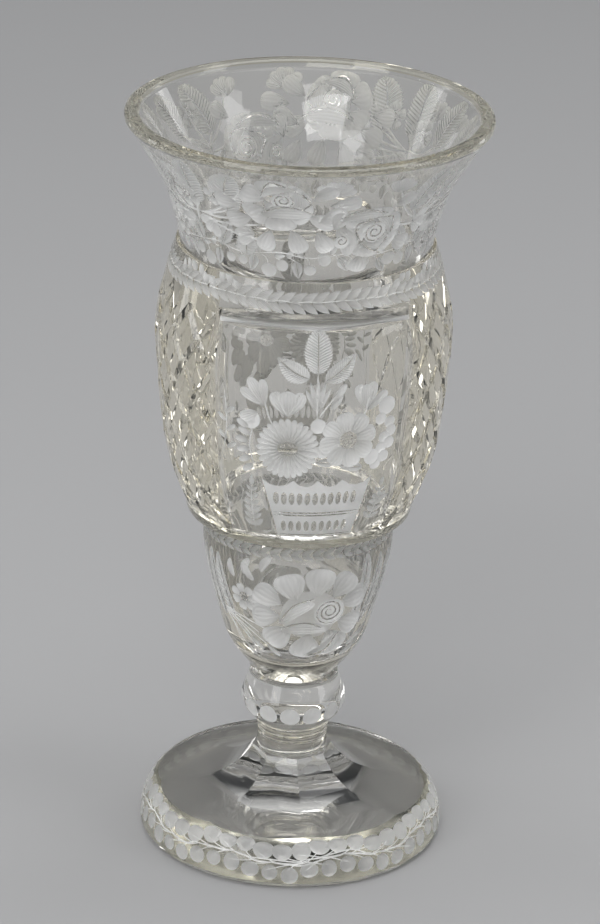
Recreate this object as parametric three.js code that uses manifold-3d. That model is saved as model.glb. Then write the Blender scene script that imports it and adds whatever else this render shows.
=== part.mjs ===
// Pedestal vase in thick cut glass, standing on its foot: flared collar, bulging body with
// ground panels and diamond cutting, ring, lower bowl, knop, merese, stem and panel-cut foot.
// Millimetres, +Z up, origin at the middle of the underside, middle of the front panel at -Y.

import * as THREE from "three";
import { mergeVertices } from "three/addons/utils/BufferGeometryUtils.js";
import Module from "manifold-3d";

const wasm = await Module();
wasm.setup();

// Gap left at each joint between two gathers of glass
const JOINT = 0.3;

// Foot: a heavy disc whose top is ground into eight hollow panels that rise to the stem
const FOOT_RADIUS = 64.5;
const FOOT_WIDEST_HEIGHT = 5;
const FOOT_BASE_SETBACK = 1.8;
const FOOT_HEIGHT = 40;
const PANEL_END_RADIUS = 55;
const PANEL_END_HEIGHT = 20.5;
const FLUTE_COUNT = 8;
const FLUTE_STEEPNESS = 4.5;
const FLUTE_OUTER_FALL = 3.5;
const FLUTE_COLLAR_HEIGHT = 2;
const FLUTE_LEDGE = 1.1;
const FOOT_TURN = 2;

// Stem: a short turned cylinder with shallow grooves
const STEM_RADIUS = 14.8;
const STEM_LENGTH = 6.4;
const STEM_GROOVE_DEPTH = 0.5;
const STEM_GROOVE_WIDTH = 1;
const STEM_EDGE = 0.5;

// Merese: the thin round-edged wafer under the knop
const MERESE_THICKNESS = 2.6;
const MERESE_OVERHANG = 0.7;

// Knop: a flattened ball with a row of round hollow cuts
const KNOP_RADIUS = 22.1;
const KNOP_LENGTH = 22;
const KNOP_BOTTOM_RADIUS = 15.6;
const KNOP_TOP_RADIUS = 18.6;
const KNOP_WIDEST_HEIGHT = 10.4;
const PUNTY_COUNT = 14;
const PUNTY_RADIUS = 4;
const PUNTY_WHEEL_RADIUS = 15;
const PUNTY_HEIGHT = 8.6;
const PUNTY_TILT = 8;
const PUNTY_TURN = -9;

// Bowl: lower bowl, ring, body and collar, blown as one piece
const BOWL_SEAT_RADIUS = 15.9;
const LOWER_HEIGHT = 75.4;
const LOWER_WAIST_RADIUS = 33;
const LOWER_RADIUS = 39.8;
const RING_HEIGHT = 4.2;
const RING_RADIUS = 47.6;
const RING_DRAFT = 0.8;
const BODY_HEIGHT = 113.5;
const SHOULDER_RADIUS = 61.1;
const SHOULDER_DROP = 34;
const NECK_LEDGE = 1.5;
const NECK_RADIUS = 51.7;
const COLLAR_HEIGHT = 54.7;
const RIM_RADIUS = 74.9;
const RIM_BAND = 2.7;

// Walls and floor of the hollow
const RIM_WALL = 6.3;
const NECK_WALL = 7;
const BODY_WALL = 8.6;
const LOWER_WALL = 7.8;
const FLOOR_THICKNESS = 12;
const FLOOR_ROUNDING = 14;

// Cutting: panels ground into the body, mitre lines beside them and diamonds between
const BAY_COUNT = 2;
const PANEL_HALF_ANGLE = 42.5;
const PANEL_DEPTH = 3.6;
const PANEL_EDGE_DEPTH = 2.2;
const PANEL_TOP_DROP = 13.3;
const PANEL_LEDGE = 6;
const MITRE_DEPTH = 2;
const MITRE_HALF_WIDTH = 1.6;
const DIAMONDS_ACROSS = 6;
const DIAMOND_HEIGHT = 23.5;
const DIAMOND_CUT_DEPTH = 1.8;
const DIAMOND_CUT_HALF_WIDTH = 1.9;
const DIAMOND_TOP_DROP = 16;
const DIAMOND_BOTTOM_RISE = 2;

// Facets round each turned piece
const BOWL_SEGMENTS = 52;
const HOLLOW_SEGMENTS = 32;
const FOOT_SEGMENTS = 72;
const KNOP_SEGMENTS = 42;
const STEM_SEGMENTS = 32;
const OVERCUT = 1.5;
const MITRE_CLEARANCE = 4;

// Heights that follow from the sizes above
const stemBase = FOOT_HEIGHT + JOINT;
const mereseBase = stemBase + STEM_LENGTH + JOINT;
const knopBase = mereseBase + MERESE_THICKNESS + JOINT;
const bowlBase = knopBase + KNOP_LENGTH + JOINT;
const ringBottom = bowlBase + LOWER_HEIGHT;
const ringTop = ringBottom + RING_HEIGHT;
const neckHeight = ringTop + BODY_HEIGHT;
const rimTop = neckHeight + COLLAR_HEIGHT;

const degrees = THREE.MathUtils.degToRad;
const mix = THREE.MathUtils.lerp;

// A smooth run of outline points through a few given ones
function curveThrough(points, divisions) {
  const knots = points.map(([radius, height]) => new THREE.Vector2(radius, height));
  return new THREE.SplineCurve(knots).getPoints(divisions);
}

// Outline points revolved about the upright axis
function turned(points, segments) {
  const geometry = new THREE.LatheGeometry(points, segments);
  return geometry.rotateX(Math.PI / 2);
}

// A closed geometry as a solid, with shared corners and faces pointing out
function solidOf(geometry) {
  const bare = geometry.clone();
  bare.deleteAttribute("normal");
  bare.deleteAttribute("uv");
  const merged = mergeVertices(bare, 1e-4);
  const corners = merged.index.array;
  const kept = [];
  for (let i = 0; i < corners.length; i += 3) {
    const [a, b, c] = corners.slice(i, i + 3);
    if (a !== b && b !== c && c !== a) {
      kept.push(a, b, c);
    }
  }
  if (signedVolume(merged.attributes.position, kept) < 0) {
    kept.reverse();
  }
  return new wasm.Manifold(new wasm.Mesh({
    numProp: 3,
    vertProperties: new Float32Array(merged.attributes.position.array),
    triVerts: new Uint32Array(kept),
  }));
}

function signedVolume(position, corners) {
  const [a, b, c] = [new THREE.Vector3(), new THREE.Vector3(), new THREE.Vector3()];
  let volume = 0;
  for (let i = 0; i < corners.length; i += 3) {
    a.fromBufferAttribute(position, corners[i]);
    b.fromBufferAttribute(position, corners[i + 1]);
    c.fromBufferAttribute(position, corners[i + 2]);
    volume += a.dot(b.cross(c));
  }
  return volume;
}

// A solid as a named mesh
function meshOf(name, solid, material) {
  const { vertProperties, triVerts } = solid.getMesh();
  const geometry = new THREE.BufferGeometry();
  geometry.setAttribute("position", new THREE.BufferAttribute(vertProperties, 3));
  geometry.setIndex(new THREE.BufferAttribute(triVerts, 1));
  geometry.computeVertexNormals();
  const mesh = new THREE.Mesh(geometry, material);
  mesh.name = name;
  return mesh;
}

function glass(color) {
  return new THREE.MeshStandardMaterial({
    color,
    roughness: 0.06,
    metalness: 0,
    transparent: true,
    opacity: 0.4,
  });
}

// Outer outline of the lower bowl, from the knop up to the ring
function lowerOutline() {
  const height = (share) => bowlBase + share * LOWER_HEIGHT;
  return curveThrough([
    [BOWL_SEAT_RADIUS, height(0)],
    [mix(BOWL_SEAT_RADIUS, LOWER_WAIST_RADIUS, 0.7), height(0.21)],
    [LOWER_WAIST_RADIUS, height(0.41)],
    [mix(LOWER_WAIST_RADIUS, LOWER_RADIUS, 0.7), height(0.66)],
    [LOWER_RADIUS, height(0.82)],
    [LOWER_RADIUS - 0.2, height(1)],
  ], 10);
}

// Outer outline of the body, from the ring to the neck line
function bodyOutline() {
  const swell = SHOULDER_RADIUS - RING_RADIUS;
  const widest = neckHeight - SHOULDER_DROP;
  const height = (share) => mix(ringTop, widest, share);
  return curveThrough([
    [RING_RADIUS, ringTop],
    [RING_RADIUS + 0.62 * swell, height(0.3)],
    [RING_RADIUS + 0.89 * swell, height(0.66)],
    [SHOULDER_RADIUS, widest],
    [mix(SHOULDER_RADIUS, NECK_RADIUS + NECK_LEDGE, 0.52), neckHeight - 0.37 * SHOULDER_DROP],
    [NECK_RADIUS + NECK_LEDGE, neckHeight],
  ], 12);
}

// Outer outline of the collar, from the neck line to the rim
function collarOutline() {
  const flare = RIM_RADIUS - NECK_RADIUS;
  const rise = COLLAR_HEIGHT - RIM_BAND;
  return curveThrough([
    [NECK_RADIUS, neckHeight],
    [NECK_RADIUS + 0.075 * flare, neckHeight + 0.175 * rise],
    [NECK_RADIUS + 0.28 * flare, neckHeight + 0.475 * rise],
    [NECK_RADIUS + 0.64 * flare, neckHeight + 0.765 * rise],
    [RIM_RADIUS, neckHeight + rise],
  ], 9);
}

// Radius of an outline at a height
function radiusAt(outline, height) {
  for (let i = 1; i < outline.length; i += 1) {
    const [low, high] = [outline[i - 1], outline[i]];
    if (height <= high.y || i === outline.length - 1) {
      return mix(low.x, high.x, (height - low.y) / (high.y - low.y));
    }
  }
  return outline[0].x;
}

const lower = lowerOutline();
const body = bodyOutline();
const collar = collarOutline();

// Bowl before cutting, filled solid
function bowlBlank() {
  const outline = [
    new THREE.Vector2(0, bowlBase),
    ...lower,
    new THREE.Vector2(RING_RADIUS - RING_DRAFT, ringBottom),
    ...body,
    ...collar,
    new THREE.Vector2(RIM_RADIUS - 0.3, rimTop),
    new THREE.Vector2(0, rimTop),
  ];
  return solidOf(turned(outline, BOWL_SEGMENTS));
}

// Hollow of the bowl, open at the rim
function hollow() {
  const floor = bowlBase + FLOOR_THICKNESS;
  const floorEnd = floor + FLOOR_ROUNDING;
  const floorRadius = radiusAt(lower, floorEnd) - LOWER_WALL;
  const outline = [];
  for (let i = 0; i <= 4; i += 1) {
    const turn = degrees(22.5 * i);
    outline.push(new THREE.Vector2(
      floorRadius * Math.sin(turn),
      floorEnd - FLOOR_ROUNDING * Math.cos(turn),
    ));
  }
  for (const share of [0.35, 0.75]) {
    const height = mix(floorEnd, ringBottom, share);
    outline.push(new THREE.Vector2(radiusAt(lower, height) - LOWER_WALL, height));
  }
  for (const share of [0.1, 0.3, 0.55, 0.75, 0.9]) {
    const height = mix(ringTop, neckHeight, share);
    outline.push(new THREE.Vector2(radiusAt(body, height) - BODY_WALL, height));
  }
  for (const share of [0.04, 0.3, 0.55, 0.77, 1]) {
    const height = mix(neckHeight, rimTop - RIM_BAND, share);
    const wall = mix(NECK_WALL, RIM_WALL, share);
    outline.push(new THREE.Vector2(radiusAt(collar, height) - wall, height));
  }
  const mouth = outline[outline.length - 1];
  outline.push(new THREE.Vector2(mouth.x, rimTop + OVERCUT));
  outline.push(new THREE.Vector2(0, rimTop + OVERCUT));
  return solidOf(turned(outline, HOLLOW_SEGMENTS));
}

// Moves a point given by angle, height and distance out of the body's surface to its place
function onBody(position, i, angle, height, out) {
  const radius = radiusAt(body, height) + out;
  position.setXYZ(i, radius * Math.sin(angle), -radius * Math.cos(angle), height);
}

// One shallow panel, ending above in a slanted ledge and below on the ring
function panelCutter(turn) {
  const rows = 8;
  const geometry = new THREE.BoxGeometry(2, 1, 1, 10, rows, 1);
  const position = geometry.attributes.position;
  const top = neckHeight - PANEL_TOP_DROP;
  for (let i = 0; i < position.count; i += 1) {
    const across = position.getX(i);
    const row = Math.round((position.getY(i) + 0.5) * rows);
    const isTop = row === rows;
    const height = isTop ? top : mix(ringTop, top - PANEL_LEDGE, row / (rows - 1));
    const depth = mix(PANEL_DEPTH, PANEL_EDGE_DEPTH, across * across);
    const inner = isTop ? OVERCUT / 4 : -depth;
    const outer = SHOULDER_RADIUS - radiusAt(body, height) + OVERCUT;
    const out = position.getZ(i) < 0 ? inner : outer;
    onBody(position, i, turn + degrees(across * PANEL_HALF_ANGLE), height, out);
  }
  return solidOf(geometry);
}

// One V-shaped cut laid on the body along a straight line of angle and height
function mitreCutter(from, to, depth, halfWidth) {
  const spread = halfWidth * (1 + MITRE_CLEARANCE / depth);
  const section = new THREE.Shape([
    new THREE.Vector2(0, -depth),
    new THREE.Vector2(spread, MITRE_CLEARANCE),
    new THREE.Vector2(-spread, MITRE_CLEARANCE),
  ]);
  const run = new THREE.Vector2((to.angle - from.angle) * SHOULDER_RADIUS, to.height - from.height);
  const steps = Math.max(1, Math.round(run.length() / 16));
  const geometry = new THREE.ExtrudeGeometry(section, { depth: 1, steps, bevelEnabled: false });
  const position = geometry.attributes.position;
  run.normalize();
  for (let i = 0; i < position.count; i += 1) {
    const share = position.getZ(i);
    const aside = position.getX(i);
    const angle = mix(from.angle, to.angle, share) - aside * run.y / SHOULDER_RADIUS;
    const height = mix(from.height, to.height, share) + aside * run.x;
    onBody(position, i, angle, height, position.getY(i));
  }
  return solidOf(geometry);
}

// Crossing slanted cuts that leave staggered diamonds standing between two panels
function diamondCutters(turn) {
  const halfAngle = 180 / BAY_COUNT - PANEL_HALF_ANGLE;
  const pitch = 2 * halfAngle / DIAMONDS_ACROSS;
  const bottom = ringTop + DIAMOND_BOTTOM_RISE;
  const top = neckHeight - DIAMOND_TOP_DROP;
  const rows = (top - bottom) / DIAMOND_HEIGHT;
  const cutters = [];
  for (let k = -Math.ceil(rows); k < DIAMONDS_ACROSS; k += 1) {
    const first = Math.max(0, -k);
    const last = Math.min(rows, DIAMONDS_ACROSS - k);
    if (last - first < 0.35) {
      continue;
    }
    for (const side of [-1, 1]) {
      const place = (count) => ({
        angle: turn + side * degrees((count + k) * pitch - halfAngle),
        height: bottom + count * DIAMOND_HEIGHT,
      });
      cutters.push(mitreCutter(
        place(first),
        place(last),
        DIAMOND_CUT_DEPTH,
        DIAMOND_CUT_HALF_WIDTH,
      ));
    }
  }
  return cutters;
}

// Upright mitre lines that part the panels from the diamonds
function borderCutters(turn) {
  return [-1, 1].map((side) => {
    const angle = turn + side * degrees(PANEL_HALF_ANGLE);
    const from = { angle, height: ringTop };
    const to = { angle, height: neckHeight - PANEL_TOP_DROP };
    return mitreCutter(from, to, MITRE_DEPTH, MITRE_HALF_WIDTH);
  });
}

function bowlSolid() {
  let solid = bowlBlank().subtract(hollow());
  for (let bay = 0; bay < BAY_COUNT; bay += 1) {
    const turn = 2 * Math.PI * bay / BAY_COUNT;
    const between = turn + Math.PI / BAY_COUNT;
    const cutters = [panelCutter(turn), ...diamondCutters(between), ...borderCutters(turn)];
    for (const cutter of cutters) {
      solid = solid.subtract(cutter);
    }
  }
  return solid;
}

// Outline of the knop, flatter above than below
function knopOutline() {
  const widest = knopBase + KNOP_WIDEST_HEIGHT;
  const top = knopBase + KNOP_LENGTH;
  return curveThrough([
    [KNOP_BOTTOM_RADIUS, knopBase],
    [mix(KNOP_BOTTOM_RADIUS, KNOP_RADIUS, 0.73), mix(knopBase, widest, 0.48)],
    [KNOP_RADIUS, widest],
    [mix(KNOP_RADIUS, KNOP_TOP_RADIUS, 0.4), mix(widest, top, 0.5)],
    [KNOP_TOP_RADIUS, top],
  ], 8);
}

// One hollow round cut, shaped like the edge of a small convex wheel
function puntyCutter(turn, radius) {
  const points = [];
  const reach = Math.asin((PUNTY_RADIUS + OVERCUT) / PUNTY_WHEEL_RADIUS);
  for (let i = 0; i <= 2; i += 1) {
    const angle = reach * i / 2;
    points.push(new THREE.Vector2(
      PUNTY_WHEEL_RADIUS * Math.sin(angle),
      PUNTY_WHEEL_RADIUS * (1 - Math.cos(angle)),
    ));
  }
  points.push(new THREE.Vector2(PUNTY_RADIUS + OVERCUT, PUNTY_RADIUS));
  points.push(new THREE.Vector2(0, PUNTY_RADIUS));
  const wheelSink = PUNTY_RADIUS ** 2 / 2 * (1 / PUNTY_WHEEL_RADIUS + 1 / KNOP_RADIUS);
  const geometry = turned(points, 12);
  geometry.translate(0, 0, radius - wheelSink);
  geometry.rotateX(Math.PI / 2 + degrees(PUNTY_TILT));
  geometry.rotateZ(turn);
  geometry.translate(0, 0, knopBase + PUNTY_HEIGHT + radius * Math.sin(degrees(PUNTY_TILT)));
  return solidOf(geometry);
}

function knopSolid() {
  const outline = knopOutline();
  const blank = [
    new THREE.Vector2(0, knopBase),
    ...outline,
    new THREE.Vector2(0, knopBase + KNOP_LENGTH),
  ];
  const cutRadius = radiusAt(outline, knopBase + PUNTY_HEIGHT);
  let solid = solidOf(turned(blank, KNOP_SEGMENTS));
  for (let i = 0; i < PUNTY_COUNT; i += 1) {
    const turn = degrees(PUNTY_TURN + 360 * i / PUNTY_COUNT);
    solid = solid.subtract(puntyCutter(turn, cutRadius));
  }
  return solid;
}

// Merese with a rounded edge
function mereseSolid() {
  const round = MERESE_THICKNESS / 2;
  const straight = STEM_RADIUS + MERESE_OVERHANG - round;
  const outline = [new THREE.Vector2(0, mereseBase)];
  for (let i = 0; i <= 4; i += 1) {
    const angle = degrees(45 * i - 90);
    outline.push(new THREE.Vector2(
      straight + round * Math.cos(angle),
      mereseBase + round + round * Math.sin(angle),
    ));
  }
  outline.push(new THREE.Vector2(0, mereseBase + MERESE_THICKNESS));
  return solidOf(turned(outline, STEM_SEGMENTS));
}

// Stem with a groove under its upper edge and another at its middle
function stemSolid() {
  const top = stemBase + STEM_LENGTH;
  const outline = [
    new THREE.Vector2(0, stemBase),
    new THREE.Vector2(STEM_RADIUS, stemBase),
  ];
  for (const share of [0.5, 0.85]) {
    const middle = stemBase + share * STEM_LENGTH;
    outline.push(new THREE.Vector2(STEM_RADIUS, middle - STEM_GROOVE_WIDTH / 2));
    outline.push(new THREE.Vector2(STEM_RADIUS - STEM_GROOVE_DEPTH, middle));
    outline.push(new THREE.Vector2(STEM_RADIUS, middle + STEM_GROOVE_WIDTH / 2));
  }
  outline.push(new THREE.Vector2(STEM_RADIUS - STEM_EDGE, top));
  outline.push(new THREE.Vector2(0, top));
  return solidOf(turned(outline, STEM_SEGMENTS));
}

// Eight hollow panels: a lathe outline turned in eight flat sides
function footPanels() {
  const ridgeTopRadius = STEM_RADIUS + FLUTE_LEDGE;
  const ridgeTopHeight = FOOT_HEIGHT - FLUTE_COLLAR_HEIGHT;
  const bell = ridgeTopHeight - PANEL_END_HEIGHT - FLUTE_OUTER_FALL;
  const beyond = FOOT_RADIUS / Math.cos(Math.PI / FLUTE_COUNT) + OVERCUT;
  const ridgeHeight = (radius) => {
    const left = (PANEL_END_RADIUS - radius) / (PANEL_END_RADIUS - ridgeTopRadius);
    return PANEL_END_HEIGHT + FLUTE_OUTER_FALL * left
      + bell * Math.max(left, 0) ** FLUTE_STEEPNESS;
  };
  const outline = [new THREE.Vector2(0, 0), new THREE.Vector2(beyond, 0)];
  outline.push(new THREE.Vector2(beyond, ridgeHeight(beyond)));
  for (let i = 0; i <= 10; i += 1) {
    const radius = mix(PANEL_END_RADIUS, ridgeTopRadius, Math.sin(Math.PI / 2 * i / 10));
    outline.push(new THREE.Vector2(radius, ridgeHeight(radius)));
  }
  outline.push(new THREE.Vector2(0, ridgeTopHeight));
  return solidOf(turned(outline, FLUTE_COUNT));
}

// Round disc with its bulging band, high enough in the middle to hold the panels
function footDisc() {
  const rise = PANEL_END_HEIGHT - FOOT_WIDEST_HEIGHT;
  const run = FOOT_RADIUS - PANEL_END_RADIUS;
  const outline = [
    new THREE.Vector2(0, 0),
    new THREE.Vector2(FOOT_RADIUS - FOOT_BASE_SETBACK, 0),
    new THREE.Vector2(FOOT_RADIUS - 0.1 * FOOT_BASE_SETBACK, FOOT_WIDEST_HEIGHT / 2),
  ];
  for (let i = 0; i <= 5; i += 1) {
    const angle = Math.PI / 2 * i / 5;
    const inward = run * (1 - Math.cos(angle));
    outline.push(new THREE.Vector2(
      FOOT_RADIUS - inward - 0.04 * run * Math.sin(angle * 2),
      FOOT_WIDEST_HEIGHT + rise * Math.sin(angle),
    ));
  }
  outline.push(new THREE.Vector2(PANEL_END_RADIUS - rise, FOOT_HEIGHT));
  outline.push(new THREE.Vector2(0, FOOT_HEIGHT));
  return solidOf(turned(outline, FOOT_SEGMENTS));
}

// Short cone that leads from the eight-sided top of the panels to the round stem
function footCollar() {
  const low = FOOT_HEIGHT - FLUTE_COLLAR_HEIGHT - OVERCUT;
  const outline = [
    new THREE.Vector2(0, low),
    new THREE.Vector2(STEM_RADIUS + FLUTE_LEDGE / 4, low),
    new THREE.Vector2(STEM_RADIUS, FOOT_HEIGHT),
    new THREE.Vector2(0, FOOT_HEIGHT),
  ];
  return solidOf(turned(outline, STEM_SEGMENTS));
}

function footSolid() {
  return footPanels().intersect(footDisc()).add(footCollar());
}

const clear = glass("#e8e6dc");
const thick = glass("#dfdccb");

const group = new THREE.Group();
const foot = meshOf("foot", footSolid(), thick);
foot.rotation.z = degrees(FOOT_TURN);
group.add(foot);
group.add(meshOf("stem", stemSolid(), thick));
group.add(meshOf("merese", mereseSolid(), thick));
group.add(meshOf("knop", knopSolid(), clear));
group.add(meshOf("bowl", bowlSolid(), clear));

export default group;
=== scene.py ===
# %% [markdown]
# # A pedestal vase in cut and engraved glass
#
# The vase is thick clear glass on its own foot. A glassblower made it in gathers: the bowl, the
# knop, the thin merese, the stem and the foot. A cutter then ground panels, mitre lines and
# diamonds into the bowl and eight hollow panels into the foot, and an engraver covered it with
# roses, leaves and garlands. Each gather is one piece here, and each stands where its CAD solid is.

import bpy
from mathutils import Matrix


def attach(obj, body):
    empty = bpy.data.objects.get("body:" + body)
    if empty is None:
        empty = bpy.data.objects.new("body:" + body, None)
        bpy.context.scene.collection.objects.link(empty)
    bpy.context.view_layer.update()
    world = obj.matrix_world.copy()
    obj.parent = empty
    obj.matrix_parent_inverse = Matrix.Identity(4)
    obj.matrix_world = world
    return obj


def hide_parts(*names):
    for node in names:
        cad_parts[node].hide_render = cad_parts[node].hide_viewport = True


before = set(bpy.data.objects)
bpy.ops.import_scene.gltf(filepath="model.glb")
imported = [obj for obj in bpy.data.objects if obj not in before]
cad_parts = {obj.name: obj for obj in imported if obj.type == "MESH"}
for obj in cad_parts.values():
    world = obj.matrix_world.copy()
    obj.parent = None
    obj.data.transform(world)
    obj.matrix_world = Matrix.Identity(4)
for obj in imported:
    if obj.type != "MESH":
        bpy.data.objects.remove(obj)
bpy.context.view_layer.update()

# %% Tools of the lesson
import math

import bmesh
import bpy
import numpy as np
from mathutils import Matrix, Vector
from mathutils.geometry import delaunay_2d_cdt

MM = 0.001
scene = bpy.context.scene


def new_object(name, data):
    made = bpy.data.objects.new(name, data)
    scene.collection.objects.link(made)
    return made


# %% [markdown]
# ## Camera
#
# The photograph looks down on the vase from a little left of its front panel. The vase's own
# outline gives the distance, the height and the slope of the view. A long lens keeps the rim and
# the foot in proportion, and the camera is rolled a little because the photograph leans.

# %% Camera at the photograph's place
VIEW_DISTANCE, VIEW_HEIGHT = 1632.3 * MM, 849.1 * MM
VIEW_TURN, VIEW_SLOPE, VIEW_ROLL = math.radians(-5.9), 0.396, math.radians(1.66)
FOCAL_PIXELS, PHOTO_HEIGHT_PIXELS = 4246.3, 924
SENSOR_HEIGHT, VIEW_LIMIT = 36, 50


def add_camera():
    data = bpy.data.cameras.new("camera")
    data.sensor_fit = "VERTICAL"
    data.sensor_height = SENSOR_HEIGHT
    data.lens = SENSOR_HEIGHT * FOCAL_PIXELS / PHOTO_HEIGHT_PIXELS
    data.clip_end = VIEW_LIMIT
    camera = new_object("camera", data)
    turn = Matrix.Rotation(VIEW_TURN, 4, "Z")
    slope = Matrix.Rotation(math.pi / 2 - VIEW_SLOPE, 4, "X")
    roll = Matrix.Rotation(VIEW_ROLL, 4, "Z")
    place = turn @ Vector((0, -VIEW_DISTANCE, VIEW_HEIGHT))
    camera.matrix_world = Matrix.Translation(place) @ (turn @ slope @ roll)
    return camera


scene.camera = add_camera()
print("camera lens in mm:", round(scene.camera.data.lens, 1))

# %% [markdown]
# ## Floor, lamps and sky
#
# Clear glass has no colour of its own: it shows what is round it. So the floor is one pale grey,
# the light comes from large soft lamps, and the sky is dark between the pale horizon and the pale
# top. The edges of these, bent by the facets, are what makes the cutting sparkle. Small lamps
# would be simpler to place, but in glass they show as hard dots.


# %% Node helpers
def set_inputs(tree, node, inputs):
    """Gives a node's inputs their values: numbers, colours or other nodes' outputs."""
    for name, value in inputs.items():
        socket = node.inputs[name]
        if isinstance(value, bpy.types.NodeSocket):
            tree.links.new(value, socket)
        else:
            socket.default_value = value


def add_node(tree, kind, *values, output=0, operation=None, **named):
    """The output of a new node, whose inputs are given in order or by name, with _ for a space."""
    node = tree.nodes.new("ShaderNode" + kind)
    if operation:
        node.operation = operation
    set_inputs(tree, node, dict(enumerate(values)))
    set_inputs(tree, node, {name.replace("_", " "): value for name, value in named.items()})
    return node.outputs[output]


def add_ramp(tree, factor, stops):
    """Colours for a factor, from stops of position and colour."""
    ramp = tree.nodes.new("ShaderNodeValToRGB")
    tree.links.new(factor, ramp.inputs["Fac"])
    elements = ramp.color_ramp.elements
    for position, _ in stops[2:]:
        elements.new(position)
    for element, (position, colour) in zip(elements, stops):
        element.position, element.color = position, (*colour, 1)
    return ramp.outputs["Color"]


def new_material(name):
    material = bpy.data.materials.new(name)
    material.use_nodes = True
    return material, material.node_tree, material.node_tree.nodes["Principled BSDF"]


# %% Floor
FLOOR_RADIUS, FLOOR_DROP = 2.1, 0.3 * MM
FLOOR_COLOUR = (0.42, 0.42, 0.425)


def floor_material():
    material, tree, shader = new_material("pale_floor")
    place = add_node(tree, "TexCoord", output="Object")
    grain = add_node(tree, "TexNoise", place, Scale=3.0, Detail=2.0)
    spread = [(at, [share * c for c in FLOOR_COLOUR]) for at, share in ((0, 0.985), (1, 1.015))]
    set_inputs(tree, shader, {"Base Color": add_ramp(tree, grain, spread), "Roughness": 0.9,
                              "Specular IOR Level": 0.1})
    return material


mesh = bpy.data.meshes.new("floor")
bm = bmesh.new()
bmesh.ops.create_circle(bm, cap_ends=True, segments=128, radius=FLOOR_RADIUS)
bmesh.ops.translate(bm, verts=bm.verts, vec=(0, 0, -FLOOR_DROP))
bm.to_mesh(mesh)
bm.free()
mesh.materials.append(floor_material())
floor = new_object("floor", mesh)
print("floor radius in m:", FLOOR_RADIUS)

# %% Lamps
LAMPS = (
    # name, width, height, place, watts
    ("key", 1.3, 1.0, (-0.65, -1.8, 1.9), 18.0),
    ("left", 0.9, 1.5, (-1.6, -1.5, 0.95), 13.0),
    ("fill", 0.7, 1.7, (1.8, -0.9, 1.0), 9.6),
    ("top", 1.8, 1.8, (0.1, 0.2, 2.2), 18.0),
    ("left_strip", 0.25, 1.5, (-1.6, 0.7, 0.7), 3.0),
    ("right_strip", 0.25, 1.5, (1.5, 0.9, 0.7), 3.0),
)
LAMP_AIM = Vector((0, 0, 0.2))

for name, width, height, place, watts in LAMPS:
    data = bpy.data.lights.new(name, "AREA")
    data.shape = "RECTANGLE"
    data.size, data.size_y, data.energy = width, height, watts
    lamp = new_object(name, data)
    lamp.location = place
    lamp.rotation_euler = (LAMP_AIM - Vector(place)).to_track_quat("-Z", "Y").to_euler()
print("lamps:", len(LAMPS), "watts:", sum(lamp[-1] for lamp in LAMPS))

# %% Sky
# height in the sky, from 0 at the horizon to 1 overhead, and the colour there
SKY = ((0.0, (0.56, 0.565, 0.57)), (0.08, (0.50, 0.505, 0.51)), (0.16, (0.03, 0.033, 0.036)),
       (0.45, (0.03, 0.033, 0.036)), (0.80, (0.95, 0.96, 0.97)))
SKY_STRENGTH = 0.6

world = bpy.data.worlds.new("studio")
scene.world = world
world.use_nodes = True
place = add_node(world.node_tree, "TexCoord", output="Generated")
height = add_node(world.node_tree, "SeparateXYZ", place, output="Z")
set_inputs(world.node_tree, world.node_tree.nodes["Background"],
           {"Color": add_ramp(world.node_tree, height, SKY), "Strength": SKY_STRENGTH})
scene.view_settings.view_transform = "Standard"
print("sky strength:", SKY_STRENGTH, "with", len(SKY), "colours")

# %% [markdown]
# ## Glass finishes
#
# The same glass shows in several finishes. Blown or polished faces are clear, with faint striae,
# and look like straw where the glass is thick. The engraver's stone wheels leave a matte grey
# ground, which is fainter where it is worn, and leather and wood wheels polish some lines bright
# again. Where two gathers were fused there is no surface at all, so the closed ends of the pieces
# let light straight through. A volume could tint the glass by its thickness, but one piece carries
# several finishes, so each finish has its tint in its base colour.

# %% Clear and polished glass
GLASS_INDEX = 1.52
THIN_TINT = (0.99, 0.98, 0.95, 1)
THICK_TINT = (0.98, 0.935, 0.80, 1)
FOOT_TINT = (0.90, 0.86, 0.64, 1)
RIM_TINT = (0.94, 0.90, 0.72, 1)


def clear_glass(name, tint, haze=0.035, least_haze=0.0, smears=35.0, detail=3.0, striae=0.03):
    """Polished glass, with a haze that comes and goes in smears, and faint striae."""
    material, tree, shader = new_material(name)
    place = add_node(tree, "TexCoord", output="Object")
    smear = add_node(tree, "TexNoise", place, Scale=smears, Detail=detail)
    gloss = add_node(tree, "MapRange", smear, To_Min=least_haze, To_Max=haze)
    set_inputs(tree, shader, {"Base Color": tint, "Transmission Weight": 1, "IOR": GLASS_INDEX,
                              "Roughness": gloss})
    if striae:
        waves = add_node(tree, "TexNoise", place, Scale=18.0, Detail=1.0)
        bump = add_node(tree, "Bump", Strength=striae, Distance=0.002, Height=waves)
        tree.links.new(bump, shader.inputs["Normal"])
    return material


# %% Veins and streaks in the cuts
VEINS, VEIN_SLANT, VEIN_HEIGHT = 16, 0.16, 0.55
STREAKS, STREAK_HEIGHT = 2.5, 0.2
# How much clearer a leaf is in its middle, and how fast the painted shade at a petal's root fades
# towards its tip
LEAF_CLEARNESS, PETAL_FADE = 0.55, 1.6


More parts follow.
